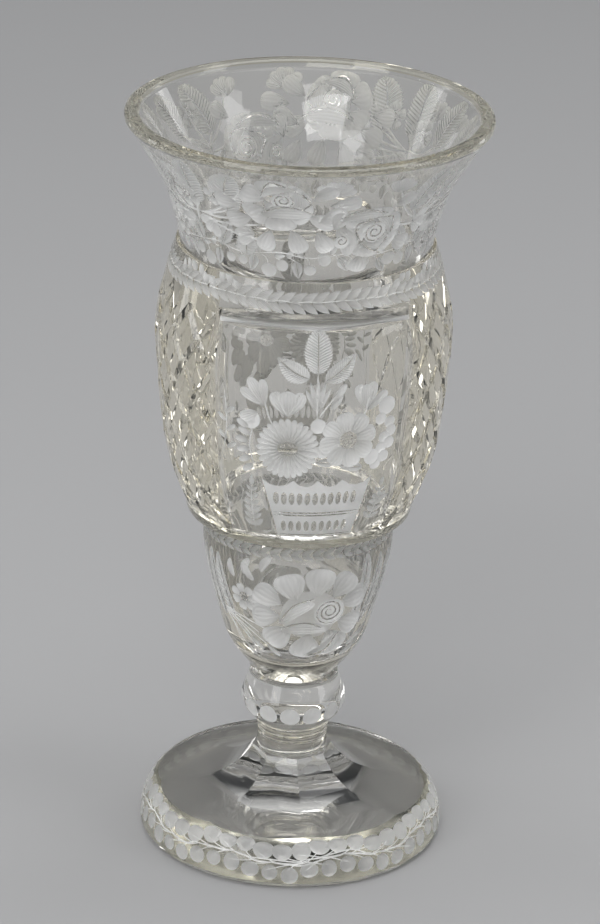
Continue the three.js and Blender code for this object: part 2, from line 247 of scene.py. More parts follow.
def cut_pattern(tree):
    """Height of the veins or streaks in a cut, and how clear and grey it is in a leaf's middle and
    at a petal's root, where the shade of the hollow is painted.
    """
    def count(operation, *values):
        return add_node(tree, "Math", *values, operation=operation)

    cut = tree.nodes.new("ShaderNodeUVMap")
    cut.uv_map = "cut"
    along, aside = (add_node(tree, "SeparateXYZ", cut.outputs["UV"], output=o) for o in "XY")
    pattern = count("FLOOR", count("MULTIPLY_ADD", along, 0.5, 0.25))
    share = count("SUBTRACT", along, count("MULTIPLY", pattern, 2))
    bent = count("MULTIPLY_ADD", count("ABSOLUTE", aside), -VEIN_SLANT, share)
    veins = count("SINE", count("MULTIPLY", bent, 2 * math.pi * VEINS))
    streaks = count("SINE", count("MULTIPLY", aside, 2 * math.pi * STREAKS))
    is_leaf, is_petal = (count("COMPARE", pattern, kind, 0.4) for kind in (1, 2))
    marks = count("MULTIPLY_ADD", count("MULTIPLY", veins, is_leaf), VEIN_HEIGHT,
                  count("MULTIPLY", count("MULTIPLY", streaks, is_petal), STREAK_HEIGHT))
    # A petal is painted greyer and clearer towards its root as the shade of its hollow, and a leaf
    # is clearer towards its middle
    painted_root_shade = count("POWER", count("SUBTRACT", 1, share), PETAL_FADE)
    from_side = count("SUBTRACT", 1, count("ABSOLUTE", aside))
    clearness_and_painted_shade = count("MULTIPLY_ADD", count("MULTIPLY", from_side, is_leaf), LEAF_CLEARNESS,
                    count("MULTIPLY", painted_root_shade, is_petal))
    return marks, clearness_and_painted_shade


# %% Ground glass
GROUND_TONES = ((0.15, (0.97, 0.97, 0.955)), (1.0, (0.82, 0.82, 0.81)))


def ground_glass(name, least_clear, most_clear):
    """Matte glass that lets some light on, less along the streaks and between the veins, with
    painted shade that makes each petal greyer and clearer at its root.
    """
    material, tree, shader = new_material(name)
    place = add_node(tree, "TexCoord", output="Object")
    grit = add_node(tree, "TexNoise", place, Scale=900.0, Detail=2.0)
    cloud = add_node(tree, "TexNoise", place, Scale=90.0, Detail=2.0)
    marks, clearness_and_painted_shade = cut_pattern(tree)
    height = add_node(tree, "Math", grit, 0.25, marks, operation="MULTIPLY_ADD")
    veined = add_node(tree, "Math", marks, 0.30, cloud, operation="MULTIPLY_ADD")
    # This mix makes the petals' roots greyer and clearer, a painted shade, as well as the veins,
    # streaks and cloud
    mixed = add_node(tree, "Math", clearness_and_painted_shade, 0.75, veined, operation="MULTIPLY_ADD")
    set_inputs(tree, shader, {
        "Base Color": add_ramp(tree, mixed, GROUND_TONES),
        "IOR": GLASS_INDEX,
        "Roughness": add_node(tree, "MapRange", grit, To_Min=0.40, To_Max=0.60),
        "Transmission Weight": add_node(tree, "MapRange", mixed, From_Min=0.25, From_Max=1.25,
                                        To_Min=least_clear, To_Max=most_clear),
        "Normal": add_node(tree, "Bump", Strength=0.6, Distance=0.0005, Height=height)})
    return material


# %% Fused joint, and the list of finishes
def fused_joint():
    material, _, shader = new_material("fused_joint")
    shader.inputs["Alpha"].default_value = 0
    return material


FINISHES = [clear_glass("clear_glass", THIN_TINT), ground_glass("ground_glass", 0.05, 0.72),
            clear_glass("polished_cut", THIN_TINT, 0.16, 0.03, 400.0, 2.0, striae=0),
            fused_joint(), clear_glass("straw_glass", THICK_TINT),
            ground_glass("worn_ground_glass", 0.36, 0.90),
            clear_glass("foot_edge_glass", FOOT_TINT, 0.36),
            ground_glass("faint_ground_glass", 0.62, 1.0),
            clear_glass("rim_glass", RIM_TINT, 0.07)]
CLEAR, MATTE, BRIGHT, FUSED, STRAW, WORN, EDGE, FAINT, ROUNDED = range(9)
print("finishes:", [finish.name for finish in FINISHES])

# %% [markdown]
# ## Outlines
#
# Each gather is turned, so its shape is one outline swung about the upright axis. A few measured
# points and a smooth curve through them give the outline, in millimetres of radius and height.
# A curve drawn by eye would serve too, but measured points can be checked against the photograph.


# %% Smooth outlines
def smooth_curve(knots, steps=14):
    """Points on a smooth curve through the knots, steps to each stretch between two."""
    knots = np.array(knots, float)
    points = []
    for i in range(len(knots) - 1):
        a, b, c = knots[max(i - 1, 0)], knots[i], knots[i + 1]
        d = knots[min(i + 2, len(knots) - 1)]
        v0, v1 = (c - a) / 2, (d - b) / 2
        for j in range(steps):
            t = j / steps
            points.append((2 * b - 2 * c + v0 + v1) * t ** 3
                          + (-3 * b + 3 * c - 2 * v0 - v1) * t ** 2 + v0 * t + b)
    return np.array(points + [knots[-1]])


class Outline:
    """An outline that can be read at any distance along it."""

    def __init__(self, points):
        self.points = np.array(points, float)
        steps = np.hypot(*np.diff(self.points, axis=0).T)
        self.run = np.concatenate([[0], np.cumsum(steps)])
        self.length = self.run[-1]
        slope = np.gradient(self.points, self.run, axis=0)
        self.slope = slope / np.hypot(*slope.T)[:, None]

    def at(self, s):
        """Radius and height at distance s, and the outward direction there."""
        r, z, dr, dz = (np.interp(s, self.run, column)
                        for column in (*self.points.T, *self.slope.T))
        return r, z, dz, -dr

    def distance_at(self, z):
        return float(np.interp(z, self.points[:, 1], self.run))

    def radius_at(self, z):
        return float(np.interp(z, self.points[:, 1], self.points[:, 0]))


# %% Sizes of the vase
BOWL_BASE, RING_BOTTOM, RING_TOP, NECK, RIM = 72.2, 147.6, 151.8, 265.3, 320.0
KNOP_BASE, KNOP_TOP = 49.9, 71.9

lower = Outline(smooth_curve([(15.9, BOWL_BASE), (27.87, 88.03), (33.0, 103.11), (37.76, 121.96),
                              (39.8, 134.03), (39.6, RING_BOTTOM)]))
body = Outline(smooth_curve([(47.6, RING_TOP), (55.97, 175.65), (59.615, 204.27), (61.1, 231.3),
                             (56.99, 252.72), (53.2, NECK)]))
collar = Outline(smooth_curve([(51.7, NECK), (53.44, 274.4), (58.196, 290.0), (66.548, 305.08),
                               (74.9, 317.3)]))
knop = Outline(smooth_curve([(15.6, KNOP_BASE), (20.345, 54.892), (22.1, 60.3), (20.7, 66.1),
                             (18.6, KNOP_TOP)]))
for name, outline in (("lower", lower), ("body", body), ("collar", collar), ("knop", knop)):
    print(f"{name} outline: {outline.length:.1f} mm long")

# %% [markdown]
# ## Carving a turned surface
#
# Engraving needs the outline of every petal in the mesh itself, which an operator such as spin
# cannot give. So each band of the vase is unrolled to a flat sheet: degrees round the vase across,
# millimetres along the outline upwards. Shapes drawn on the sheet are joined into one net of
# triangles, each shape is hollowed by its own rule, and the net is wrapped round the vase again.

# %% Polygons on a sheet
ROUND, COLUMN = 360, 2.5
# A point that is nearer to a line than this counts as on it
TOUCH = 1e-6


def in_box(polygon, x, y, margin=0.0):
    """Whether points (x, y) lie in the box round a polygon."""
    low, high = polygon.min(0) - margin, polygon.max(0) + margin
    return (x >= low[0]) & (x <= high[0]) & (y >= low[1]) & (y <= high[1])


def inside(polygon, x, y):
    """Whether points (x, y) lie inside a polygon."""
    result = np.zeros(x.shape, bool)
    near = in_box(polygon, x, y)
    if near.any():
        x, y = x[near], y[near]
        for (ax, ay), (bx, by) in zip(polygon, np.roll(polygon, -1, axis=0)):
            if ay != by:
                result[near] ^= ((ay > y) != (by > y)) & (x < (bx - ax) * (y - ay) / (by - ay) + ax)
    return result


def area_of(polygon):
    x, y = polygon.T
    return 0.5 * float((x * np.roll(y, -1) - np.roll(x, -1) * y).sum())


def clipped(polygon, axis, limit, side):
    """The part of a polygon on one side of a limit, across (axis 0) or up (axis 1)."""
    kept = []
    for a, b in zip(polygon, np.roll(polygon, -1, axis=0)):
        a_in, b_in = side * a[axis] <= side * limit, side * b[axis] <= side * limit
        if a_in:
            kept.append(a)
        if a_in != b_in:
            point = a + (limit - a[axis]) / (b[axis] - a[axis]) * (b - a)
            point[axis] = limit
            point[1 - axis] = round(point[1 - axis], 3)
            kept.append(point)
    return np.array(kept).reshape(-1, 2)


def add_ring(bm, r, z, degrees):
    """New vertices at radius r and height z, at angles round the upright axis."""
    angle = np.radians(degrees)
    places = np.broadcast_arrays(r * np.sin(angle), -r * np.cos(angle), z)
    return [bm.verts.new(place) for place in np.stack(places, axis=1) * MM]


# %% The unrolled sheet
EDGE_MARGIN, LEAST_AREA = 0.15, 0.02
# Grid points are left out inside a mark grown by this factor, looked for this far round its box
CLEARING, CLEARING_REACH = 1.04, 0.3


class Sheet:
    """One band of a turned piece, unrolled. It repeats every span degrees round the piece."""

    def __init__(self, outline, span, rows, recess=None, ground=None):
        self.outline, self.span, self.rows = outline, span, rows
        self.recess = recess or (lambda x, s: 0)
        self.ground = ground or (lambda x, s: CLEAR)
        self.shapes, self.creases = [], []

    def add(self, kind, *place, **look):
        self.shapes.append(kind(self.outline, *place, **look))

    def placed_shapes(self):
        """Each shape's polygon, copied where it passes the sheet's side edges."""
        half = self.span / 2
        low, high = self.rows[0] + EDGE_MARGIN, self.rows[-1] - EDGE_MARGIN
        placed = []
        for shape in self.shapes:
            for shift in (-self.span, 0, self.span):
                polygon = shape.polygon + (shift, 0)
                if polygon[:, 0].min() >= half or polygon[:, 0].max() <= -half:
                    continue
                for axis, limit, side in ((0, half, 1), (0, -half, -1), (1, high, 1), (1, low, -1)):
                    polygon = clipped(polygon, axis, limit, side)
                if len(polygon) > 2 and area_of(polygon) > LEAST_AREA:
                    placed.append((shape, shift, polygon))
        return placed

    def grid(self, placed):
        """Points of an even grid that no mark comes near, and all those on its border."""
        half = self.span / 2
        columns = np.linspace(-half, half, round(self.span / COLUMN) + 1)
        x, s = (grid.ravel() for grid in np.meshgrid(columns, self.rows))
        keep = np.ones(x.shape, bool)
        for _, _, polygon in placed:
            near = in_box(polygon, x, s, CLEARING_REACH)
            centre = polygon.mean(0)
            keep[near] &= ~inside(centre + (polygon - centre) * CLEARING, x[near], s[near])
        keep |= (np.abs(x) == half) | (s == self.rows[0]) | (s == self.rows[-1])
        return list(zip(x[keep], s[keep]))


# %% The net of a sheet
# A mark's own inner points keep this far from the sheet's sides and from its ends
INNER_SIDE, INNER_END = 0.2, 0.4
# The net is made of triangles everywhere, and points nearer than this are one
TRIANGLES, NET_TOLERANCE = 0, 1e-4


def sheet_net(sheet):
    """Triangles of a sheet, with the marks that each lies in, and the marks as placed."""
    half, low, high = sheet.span / 2, sheet.rows[0], sheet.rows[-1]
    placed = sheet.placed_shapes()
    points, edges, faces, seam = sheet.grid(placed), [], [], set()
    frame_line = [(-half, low), (half, low), (half, high), (-half, high), (-half, low)]
    for line in (frame_line, *sheet.creases):
        edges += [(len(points) + i, len(points) + i + 1) for i in range(len(line) - 1)]
        points += line
    for number, (shape, shift, _) in enumerate(placed):
        x, s = (shape.inner_points() + (shift, 0)).T
        free = (np.abs(x) < half - INNER_SIDE) & (s > low + INNER_END) & (s < high - INNER_END)
        for _, _, cover in placed[number + 1:]:
            free &= ~inside(cover, x, s)
        points += zip(x[free], s[free])
    for _, _, polygon in placed:
        faces.append(list(range(len(points), len(points) + len(polygon))))
        points += list(polygon)
        seam |= {round(float(s), 3) for x, s in polygon if abs(abs(x) - half) < TOUCH}
    points += [(side * half, s) for s in sorted(seam) for side in (-1, 1)]
    verts, _, tris, _, _, sources = delaunay_2d_cdt(
        [Vector(point) for point in points], edges, faces, TRIANGLES, NET_TOLERANCE, True)
    return np.array(verts), tris, [layers(marks, placed) for marks in sources], placed


def layers(marks, placed):
    """The mark on top in a triangle, and the mark that a line on top was cut through."""
    top = max(marks, default=-1)
    if top < 0 or not placed[top][0].adds:
        return top, -1
    return top, max((mark for mark in marks if not placed[mark][0].adds), default=-1)


# %% Wrapping a sheet round the vase
def wrap(bm, sheet, turn=0.0, warp=None):
    """Adds the carved band to a bmesh, all round the piece."""
    verts, tris, marks, placed = sheet_net(sheet)
    x, s = verts.T
    by_layer = {}
    for tri, layer in zip(tris, marks):
        by_layer.setdefault(layer, []).append(tri)
    depth, measured = np.full(len(verts), np.inf), {}
    for (top, under), members in by_layer.items():
        used = np.unique(members)
        sunk = np.zeros(len(used))
        for mark in (under, top):
            if mark >= 0:
                shape, shift, _ = placed[mark]
                along, aside, deeper = shape.hollow(x[used] - shift, s[used])
                sunk = sunk + deeper
                measured[top, under] = dict(zip(used, zip(along, aside)))
        depth[used] = np.minimum(depth[used], sunk)
    r, z, nr, nz = sheet.outline.at(warp(x, s) if warp else s)
    r, z = r - sheet.recess(x, s) - depth * nr, z - depth * nz
    shape_of = bm.faces.layers.int.get("shape") or bm.faces.layers.int.new("shape")
    cut = bm.loops.layers.uv.get("cut") or bm.loops.layers.uv.new("cut")
    grounds = [sheet.ground(x[tri].mean(), s[tri].mean()) for tri in tris]
    for copy in range(round(ROUND / sheet.span)):
        ring = add_ring(bm, r, z, x + copy * sheet.span + turn)
        for tri, layer, ground in zip(tris, marks, grounds):
            face = bm.faces.new([ring[v] for v in tri])
            face.smooth = True
            face.material_index = ground
            face[shape_of] = layer[0] + 1
            if layer[0] >= 0:
                shape = placed[layer[0]][0]
                face.material_index = shape.finish
                for loop, v in zip(face.loops, tri):
                    along, aside = measured[layer][v]
                    loop[cut].uv = (along + 2 * shape.pattern, aside)


# %% Spinning an outline
SPIN_STEPS = round(ROUND / COLUMN)


def spin_outline(bm, points, finish=CLEAR, turn=0.0):
    """Swings outline points (radius, height) once round the upright axis.

    It works in a bmesh of its own, which is quicker than working in a large one.
    """
    part = bmesh.new()
    verts = [part.verts.new((0, -r * MM, z * MM)) for r, z in points]
    edges = [part.edges.new(pair) for pair in zip(verts, verts[1:])]
    bmesh.ops.spin(part, geom=verts + edges, cent=(0, 0, 0), axis=(0, 0, 1),
                   angle=2 * math.pi, steps=SPIN_STEPS, use_merge=True)
    bmesh.ops.rotate(part, verts=part.verts, cent=(0, 0, 0),
                     matrix=Matrix.Rotation(math.radians(turn), 3, "Z"))
    for face in part.faces:
        face.smooth = True
        face.material_index = finish
    carrier = bpy.data.meshes.new("carrier")
    part.to_mesh(carrier)
    part.free()
    bm.from_mesh(carrier)
    bpy.data.meshes.remove(carrier)


def close_joint(bm, radius, height):
    """The flat end where a gather is fused to the next."""
    spin_outline(bm, [(radius, height), (0, height)], FUSED)


# %% Closing a piece
def close_piece(bm, name, node, sharp_angle=22):
    """Merges the bands, marks the sharp edges and makes the finished object.

    Round a mark a quarter of the angle makes an edge sharp, because the hollows are shallow.
    """
    bmesh.ops.remove_doubles(bm, verts=bm.verts, dist=2e-6)
    bmesh.ops.dissolve_degenerate(bm, dist=1e-7, edges=bm.edges)
    bmesh.ops.recalc_face_normals(bm, faces=bm.faces)
    shape = bm.faces.layers.int.get("shape")
    limit = math.radians(sharp_angle)
    for edge in bm.edges:
        if len(edge.link_faces) == 2:
            one, other = edge.link_faces
            outline = shape is not None and one[shape] != other[shape]
            edge.smooth = edge.calc_face_angle(0) <= (limit / 4 if outline else limit)
    open_edges = sum(len(edge.link_faces) != 2 for edge in bm.edges)
    mesh = bpy.data.meshes.new(name)
    bm.to_mesh(mesh)
    bm.free()
    for finish in FINISHES:
        mesh.materials.append(finish)
    piece = new_object(name, mesh)
    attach(piece, "root")
    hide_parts(node)
    triangles = sum(len(face.vertices) - 2 for face in mesh.polygons)
    print(f"{name}: {triangles} triangles, {open_edges} open edges")


# %% [markdown]
# ## Shapes of the engraver's wheel
#
# Every mark of the engraving is one touch of a turning wheel. A broad wheel leaves an oval or a
# petal, hollow in the middle. A narrow one leaves a line with a V in section. A leaf is two
# hollows with a rib standing between them. Each mark knows its polygon on the sheet and its depth.

# %% Marks
PLAIN, VEINED, STREAKED = range(3)


class Mark:
    """A mark set out in millimetres from its own root, turned, and laid on the sheet."""

    adds = False

    def __init__(self, outline, x, s, angle, finish=MATTE, pattern=PLAIN):
        self.outline, self.x, self.s = outline, x, s
        self.cos, self.sin = math.cos(math.radians(angle)), math.sin(math.radians(angle))
        self.finish, self.pattern = finish, pattern

    def lay(self, along, aside):
        """Sheet coordinates of points given along and aside of the mark."""
        s = self.s + (along * self.sin + aside * self.cos)
        right = along * self.cos - aside * self.sin
        return np.stack([self.x + np.degrees(right / self.outline.at(s)[0]), s], axis=-1)

    def back(self, x, s):
        """Millimetres along and aside of the mark for points of the sheet."""
        right, up = np.radians(x - self.x) * self.outline.at(s)[0], s - self.s
        return right * self.cos + up * self.sin, up * self.cos - right * self.sin


# %% Petals and leaves
# How fast a mark widens from its root and narrows to its tip
OVAL, POINTED, BLUNT, FEATHER = (0.5, 0.5), (0.62, 0.95), (0.95, 0.42), (0.5, 0.55)
# Where a tooth of a leaf's edge has its tip and the notch behind it, and the width in a notch
TOOTH_TIP, TOOTH_NOTCH, NOTCH_WIDTH = 0.6, 0.75, 0.84


class Petal(Mark):
    """A petal or leaf: round or pointed ends, straight or bent, hollow or with a rib."""

    def __init__(self, outline, x, s, length, width, angle, bend=0.0, depth=0.45, form=OVAL,
                 ribbed=False, finish=MATTE, pattern=PLAIN, points=9, teeth=0):
        super().__init__(outline, x, s, angle, finish, pattern)
        self.length, self.width, self.bend, self.depth = length, width, bend, depth
        self.form, self.ribbed, self.teeth = form, ribbed, teeth
        t = (1 - np.cos(np.linspace(0, math.pi, points))) / 2
        if teeth:
            tooth, count = np.arange(teeth), teeth + TOOTH_TIP
            t = np.sort(np.concatenate([[0, 1], (tooth + TOOTH_TIP) / count,
                                        (tooth + TOOTH_NOTCH) / count]))
        near = self.lay(t * length, self.middle(t) - self.edge(t))
        t = t[-2:0:-1]
        far = self.lay(t * length, self.middle(t) + self.edge(t))
        self.polygon = np.concatenate([near, far])

    def half(self, t):
        """Half the width at share t of the length."""
        a, b = self.form
        t = np.clip(t, 0, 1)
        top = (a / (a + b)) ** a * (b / (a + b)) ** b
        return self.width / 2 * t ** a * (1 - t) ** b / top

    def edge(self, t):
        """Half the width with the teeth of a leaf that has them."""
        step = np.mod(t * (self.teeth + TOOTH_TIP) - TOOTH_TIP, 1)
        notch = (self.teeth > 0) & (t > 0.01) & (step > 0.1) & (step < 0.5)
        return self.half(t) * np.where(notch, NOTCH_WIDTH, 1.0)

    def middle(self, t):
        return self.bend * 4 * t * (1 - t)

    def inner_points(self):
        t = np.linspace(0.14, 0.86, 6)
        return np.concatenate([self.lay(t * self.length, self.middle(t) + side * self.half(t))
                               for side in (-0.5, 0, 0.5)])

    def hollow(self, x, s):
        along, aside = self.back(x, s)
        t = along / self.length
        v = np.clip((aside - self.middle(t)) / np.maximum(self.half(t), 0.05), -1, 1)
        sunk = self.depth * (4 * np.abs(v) * (1 - np.abs(v)) if self.ribbed else 1 - v ** 2)
        sunk = sunk * np.clip(4 * t, 0, 1) ** 0.5 * np.clip(6 * (1 - t), 0, 1) ** 0.5
        return np.clip(t, 0, 1), v, np.maximum(sunk, 0)


# %% Lines
# A line narrows to this share of its width, in the last fifth of its length at either end
LINE_END, LINE_FIFTHS = 0.25, 5


class Line(Mark):
    """A narrow line with a V in section along a smooth curve through points of the sheet."""

    adds = True

    def __init__(self, outline, knots, width, depth=0.28, finish=BRIGHT, steps=5):
        super().__init__(outline, *knots[0], 0, finish)
        self.path = np.stack(self.back(*smooth_curve(knots, steps).T), axis=-1)
        self.width, self.depth = width, depth
        slope = np.gradient(self.path, axis=0)
        side = np.stack([-slope[:, 1], slope[:, 0]], axis=-1)
        side /= np.maximum(np.hypot(*side.T), 1e-9)[:, None]
        half = self.half(np.linspace(0, 1, len(self.path)))[:, None]
        points = np.concatenate([self.path - side * half, (self.path + side * half)[::-1]])
        self.polygon = self.lay(*points.T)

    def half(self, t):
        """Half the width, less at both ends."""
        return self.width / 2 * np.clip(np.minimum(t, 1 - t) * LINE_FIFTHS, LINE_END, 1)

    def inner_points(self):
        return self.lay(*self.path[1:-1].T)

    def hollow(self, x, s):
        point = np.stack(self.back(x, s), axis=-1)[:, None, :]
        start, step = self.path[None, :-1], np.diff(self.path, axis=0)[None]
        share = ((point - start) * step).sum(-1) / np.maximum((step ** 2).sum(-1), 1e-12)
        share = np.clip(share, 0, 1)
        far = np.hypot(*np.moveaxis(point - start - share[..., None] * step, -1, 0))
        near = far.argmin(1)
        rows = np.arange(len(near))
        t = (near + share[rows, near]) / (len(self.path) - 1)
        v = np.clip(far[rows, near] / self.half(t), 0, 1)
        return t, v, self.depth * (1 - v)


# %% Ground areas
class Plate(Mark):
    """A flat ground area inside any outline of sheet points."""

    def __init__(self, outline, corners, depth, inner):
        super().__init__(outline, 0, 0, 0)
        self.polygon, self.depth, self.inner = np.array(corners, float), depth, np.array(inner)

    def inner_points(self):
        return self.inner

    def hollow(self, x, s):
        low, high = self.polygon.min(0), self.polygon.max(0)
        u = (x - low[0]) / (high[0] - low[0])
        v = (s - low[1]) / (high[1] - low[1]) * 2 - 1
        return u, v, np.full(np.shape(x), self.depth)


# %% [markdown]
# ## Flowers, leaves and stems
#
# An engraver builds every motif from the same few marks. A daisy is a ring of narrow hollows, a
# rose is a spiral line inside crescents and broad petals, and a leaf is one ribbed mark with
# a polished line down its middle. Here each motif is a short function that adds marks to a sheet.


# %% Petals, leaves and stems
def point_at(sheet, x, s, angle, along, aside=0.0):
    """The sheet point that lies so many millimetres along and aside of a direction."""
    return Mark(sheet.outline, x, s, angle).lay(along, aside)


def petal(sheet, *place, pattern=STREAKED, **look):
    sheet.add(Petal, *place, pattern=pattern, **look)


def leaf(sheet, x, s, length, width, angle, bend=0.0, form=POINTED, depth=0.5, rib=0.6, teeth=0):
    """A veined leaf from its root, with a polished line along its middle."""
    sheet.add(Petal, x, s, length, width, angle, bend, depth, form, ribbed=True, pattern=VEINED,
              points=13, teeth=teeth)
    knots = [point_at(sheet, x, s, angle, t * length, bend * b)
             for t, b in ((0.0, 0.0), (0.3, 0.84), (0.6, 0.96), (0.92, 0.3))]
    sheet.add(Line, knots, rib, depth=0.2, steps=3)


def stem(sheet, *knots, width=0.75, finish=MATTE, steps=5):
    sheet.add(Line, knots, width, steps=steps, finish=finish)


def round_mark(sheet, x, s, radius, squeeze=1.0, depth=0.4, finish=MATTE):
    root = point_at(sheet, x, s, -90, radius)
    sheet.add(Petal, *root, 2 * radius, 2 * radius * squeeze, 90, depth=depth, finish=finish)


def each(kind, sheet, rows, **look):
    """Draws the same kind of mark for each row of numbers."""
    for row in rows:
        kind(sheet, *row, **look)


def petals_round(sheet, x, s, start, length, width, count, turn=0.0, depth=0.45, points=9):
    """A ring of petals that start at a distance from the middle (x, s)."""
    for i in range(count):
        angle = turn + 360 * i / count
        petal(sheet, *point_at(sheet, x, s, angle, start), length, width, angle, form=BLUNT,
              depth=depth, points=points)


def crescent(sheet, place, bend, depth, points, knots, width):
    """A bent petal with a polished line along its outer edge."""
    petal(sheet, *place, bend=bend, depth=depth, points=points)
    stem(sheet, *knots, width=width, finish=BRIGHT)


# %% Daisy
def daisy(sheet, x, s, radius, rays, button):
    width = 2 * math.pi * radius / rays * 0.98
    petals_round(sheet, x, s, button * 0.8, radius - button * 0.8, width, rays, depth=0.4, points=7)
    round_mark(sheet, x, s, button, 1.5, depth=0.35, finish=CLEAR)
    for i in range(9):
        stem(sheet, *(point_at(sheet, x, s, 40 * i, button * far) for far in (0.35, 0.95)),
             width=0.5, steps=2, finish=BRIGHT)


# %% Rose
def spiral(sheet, x, s, radius, turns, turn=0.0, width=0.7):
    """A polished line that winds out from the heart of a rose."""
    shares = np.arange(round(turns * 12) + 1) / round(turns * 12)
    knots = [point_at(sheet, x, s, turn + 360 * turns * share, radius * (0.12 + 0.88 * share))
             for share in shares]
    sheet.add(Line, knots, width, depth=0.3, steps=1)


def rose(sheet, x, s, radius, turn, heart, side):
    """Broad outer petals, crescents with a bright edge, and a wound heart."""
    petals_round(sheet, x, s, radius * 0.35, radius * 0.72, radius * 0.95, 6, turn=turn,
                 depth=0.85, points=11)
    x, s = point_at(sheet, x, s, turn, radius * side)
    for i, angle in enumerate((turn + 200, turn + 320, turn + 80)):
        start, end = (point_at(sheet, x, s, angle + aside, radius * (0.56 + 0.04 * i))
                      for aside in (-55, 55))
        dx = math.radians(end[0] - start[0]) * float(sheet.outline.at(start[1])[0])
        dy = end[1] - start[1]
        place = (*start, math.hypot(dx, dy), radius * 0.34, math.degrees(math.atan2(dy, dx)))
        middle = point_at(sheet, x, s, angle, radius * 0.80)
        crescent(sheet, place, -radius * 0.16, 0.5, 11, (start, middle, end), 0.7)
    round_mark(sheet, x, s, radius * heart, depth=0.35)
    spiral(sheet, x, s, radius * heart, 2.2, turn=turn)


# %% Sprig
def sprig(sheet, x, s, length, angle, pairs, leaf_length, leaf_width, spread, bend):
    """A stem with pairs of small leaves, smaller towards its end, and one leaf there."""
    def on_stem(t):
        return point_at(sheet, x, s, angle, t * length, bend * 4 * t * (1 - t))

    for i in range(pairs):
        t = (i + 0.6) / (pairs + 0.3)
        size = 1 - 0.5 * t
        lean = math.degrees(math.atan2(bend * 4 * (1 - 2 * t), length))
        for side in (-spread, spread):
            petal(sheet, *on_stem(t), leaf_length * size, leaf_width * size, angle + lean + side,
                  form=POINTED, depth=0.4, points=7)
    petal(sheet, *on_stem(1), leaf_length * 0.8, leaf_width * 0.8, angle, form=POINTED, points=7)
    stem(sheet, *(on_stem(t) for t in (0, 0.33, 0.66, 1)), width=0.6, steps=4)


# %% [markdown]
# ## Bowl
#
# The bowl carries all the cutting. Two wide panels are ground into the body, at the front and at
# the back, each under a slanted ledge and between two mitre lines. Crossing mitre cuts leave
# diamonds standing between them. Booleans could take the cuts out, but they leave ragged strips
# where many cuts meet. Here one rule for depth gives every point of the band its place instead,
# and creases in the net follow the edges of the cuts.

# %% Depth of the cutting
PANEL_HALF, PANEL_DEPTH, PANEL_EDGE_DEPTH = 42.5, 3.6, 2.2
PANEL_TOP, PANEL_LEDGE = NECK - 13.3, 6.0
# The ledge's slant aims this far over the surface, so it meets the surface below the panel's top
# Along the ledge's low edge a strip of matte ground glass this wide is a painted highlight
LEDGE_RISE, LEDGE_HIGHLIGHT_STRIP = 0.37, 2.2
MITRE_DEPTH, MITRE_HALF_WIDTH = 2.0, 1.6
DIAMOND_DEPTH, DIAMOND_HALF_WIDTH = 1.8, 1.9
DIAMOND_PITCH, DIAMOND_HEIGHT, DIAMOND_END = (180 - 2 * PANEL_HALF) / 6, 23.5, 0.6
DIAMOND_BOTTOM, DIAMOND_TOP = RING_TOP + 2, NECK - 16
SHOULDER, SIDE = 61.1, 90
DIAMOND_WIDTH = math.radians(DIAMOND_PITCH) * SHOULDER
DIAMOND_LEAN = math.hypot(DIAMOND_WIDTH, DIAMOND_HEIGHT)
RING_STEP = 0.25


def body_recess(x, s):
    """How far the cutting sinks into the body, in millimetres towards the axis."""
    z = body.at(s)[1]
    across = x / PANEL_HALF
    floor = PANEL_DEPTH + (PANEL_EDGE_DEPTH - PANEL_DEPTH) * across ** 2
    lift = np.clip((z - (PANEL_TOP - PANEL_LEDGE)) / PANEL_LEDGE, 0, 1)
    panel = np.where(np.abs(across) <= 1 + TOUCH, floor * (1 - lift) - LEDGE_RISE * lift, 0)
    aside = np.radians(np.abs(np.abs(x) - PANEL_HALF)) * SHOULDER
    mitre = np.where(z < PANEL_TOP, MITRE_DEPTH * (1 - aside / MITRE_HALF_WIDTH), 0)
    cut = np.maximum(np.maximum(panel, mitre), diamond_recess(x, z))
    return cut * np.clip(s / RING_STEP, 0, 1)


# %% Depth of the diamonds
def diamond_recess(x, z):
    """Depth of the crossing cuts between the panels."""
    from_side = np.abs(x) - SIDE
    row = (z - DIAMOND_BOTTOM) / DIAMOND_HEIGHT
    deepest = 0
    for side in (-1, 1):
        place = side * from_side / DIAMOND_PITCH - row
        off = np.abs(place - np.round(place)) * DIAMOND_WIDTH * DIAMOND_HEIGHT / DIAMOND_LEAN
        deepest = np.maximum(deepest, DIAMOND_DEPTH * (1 - off / DIAMOND_HALF_WIDTH))
    ends = np.minimum(z - DIAMOND_BOTTOM, DIAMOND_TOP - z)
    within = (np.abs(from_side) <= SIDE - PANEL_HALF + TOUCH) & (ends >= -TOUCH)
    return np.where(within, deepest * np.clip(ends / DIAMOND_END, 0, 1), 0)


# %% Sheets of the bowl
LEDGE_LOW, LEDGE_HIGH = (body.distance_at(z) for z in (PANEL_TOP - PANEL_LEDGE, PANEL_TOP))
CLEAR_HALF, CLEAR_START = 45, 18
# The back of the vase repeats the front
SPAN = 180


def even_rows(length, step, extra=()):
    rows = np.linspace(0, length, max(2, round(length / step) + 1))
    rows = [s for s in rows if all(abs(s - e) > 0.4 * step for e in extra)]
    return sorted({*rows, *extra, 0.0, length})


def body_finish(x, s):
    """Straw beside the panels; on the ledge a ground strip along its low edge as a painted
    highlight, and polished above.
    """
    if abs(x) > PANEL_HALF:
        return STRAW
    # the matte strip along the ledge's low edge is a painted highlight
    if LEDGE_LOW < s < LEDGE_LOW + LEDGE_HIGHLIGHT_STRIP:
        return MATTE
    return BRIGHT if LEDGE_LOW < s < LEDGE_HIGH else CLEAR


def lower_finish(x, s):
    return STRAW if abs(x) > CLEAR_HALF or s < CLEAR_START else CLEAR


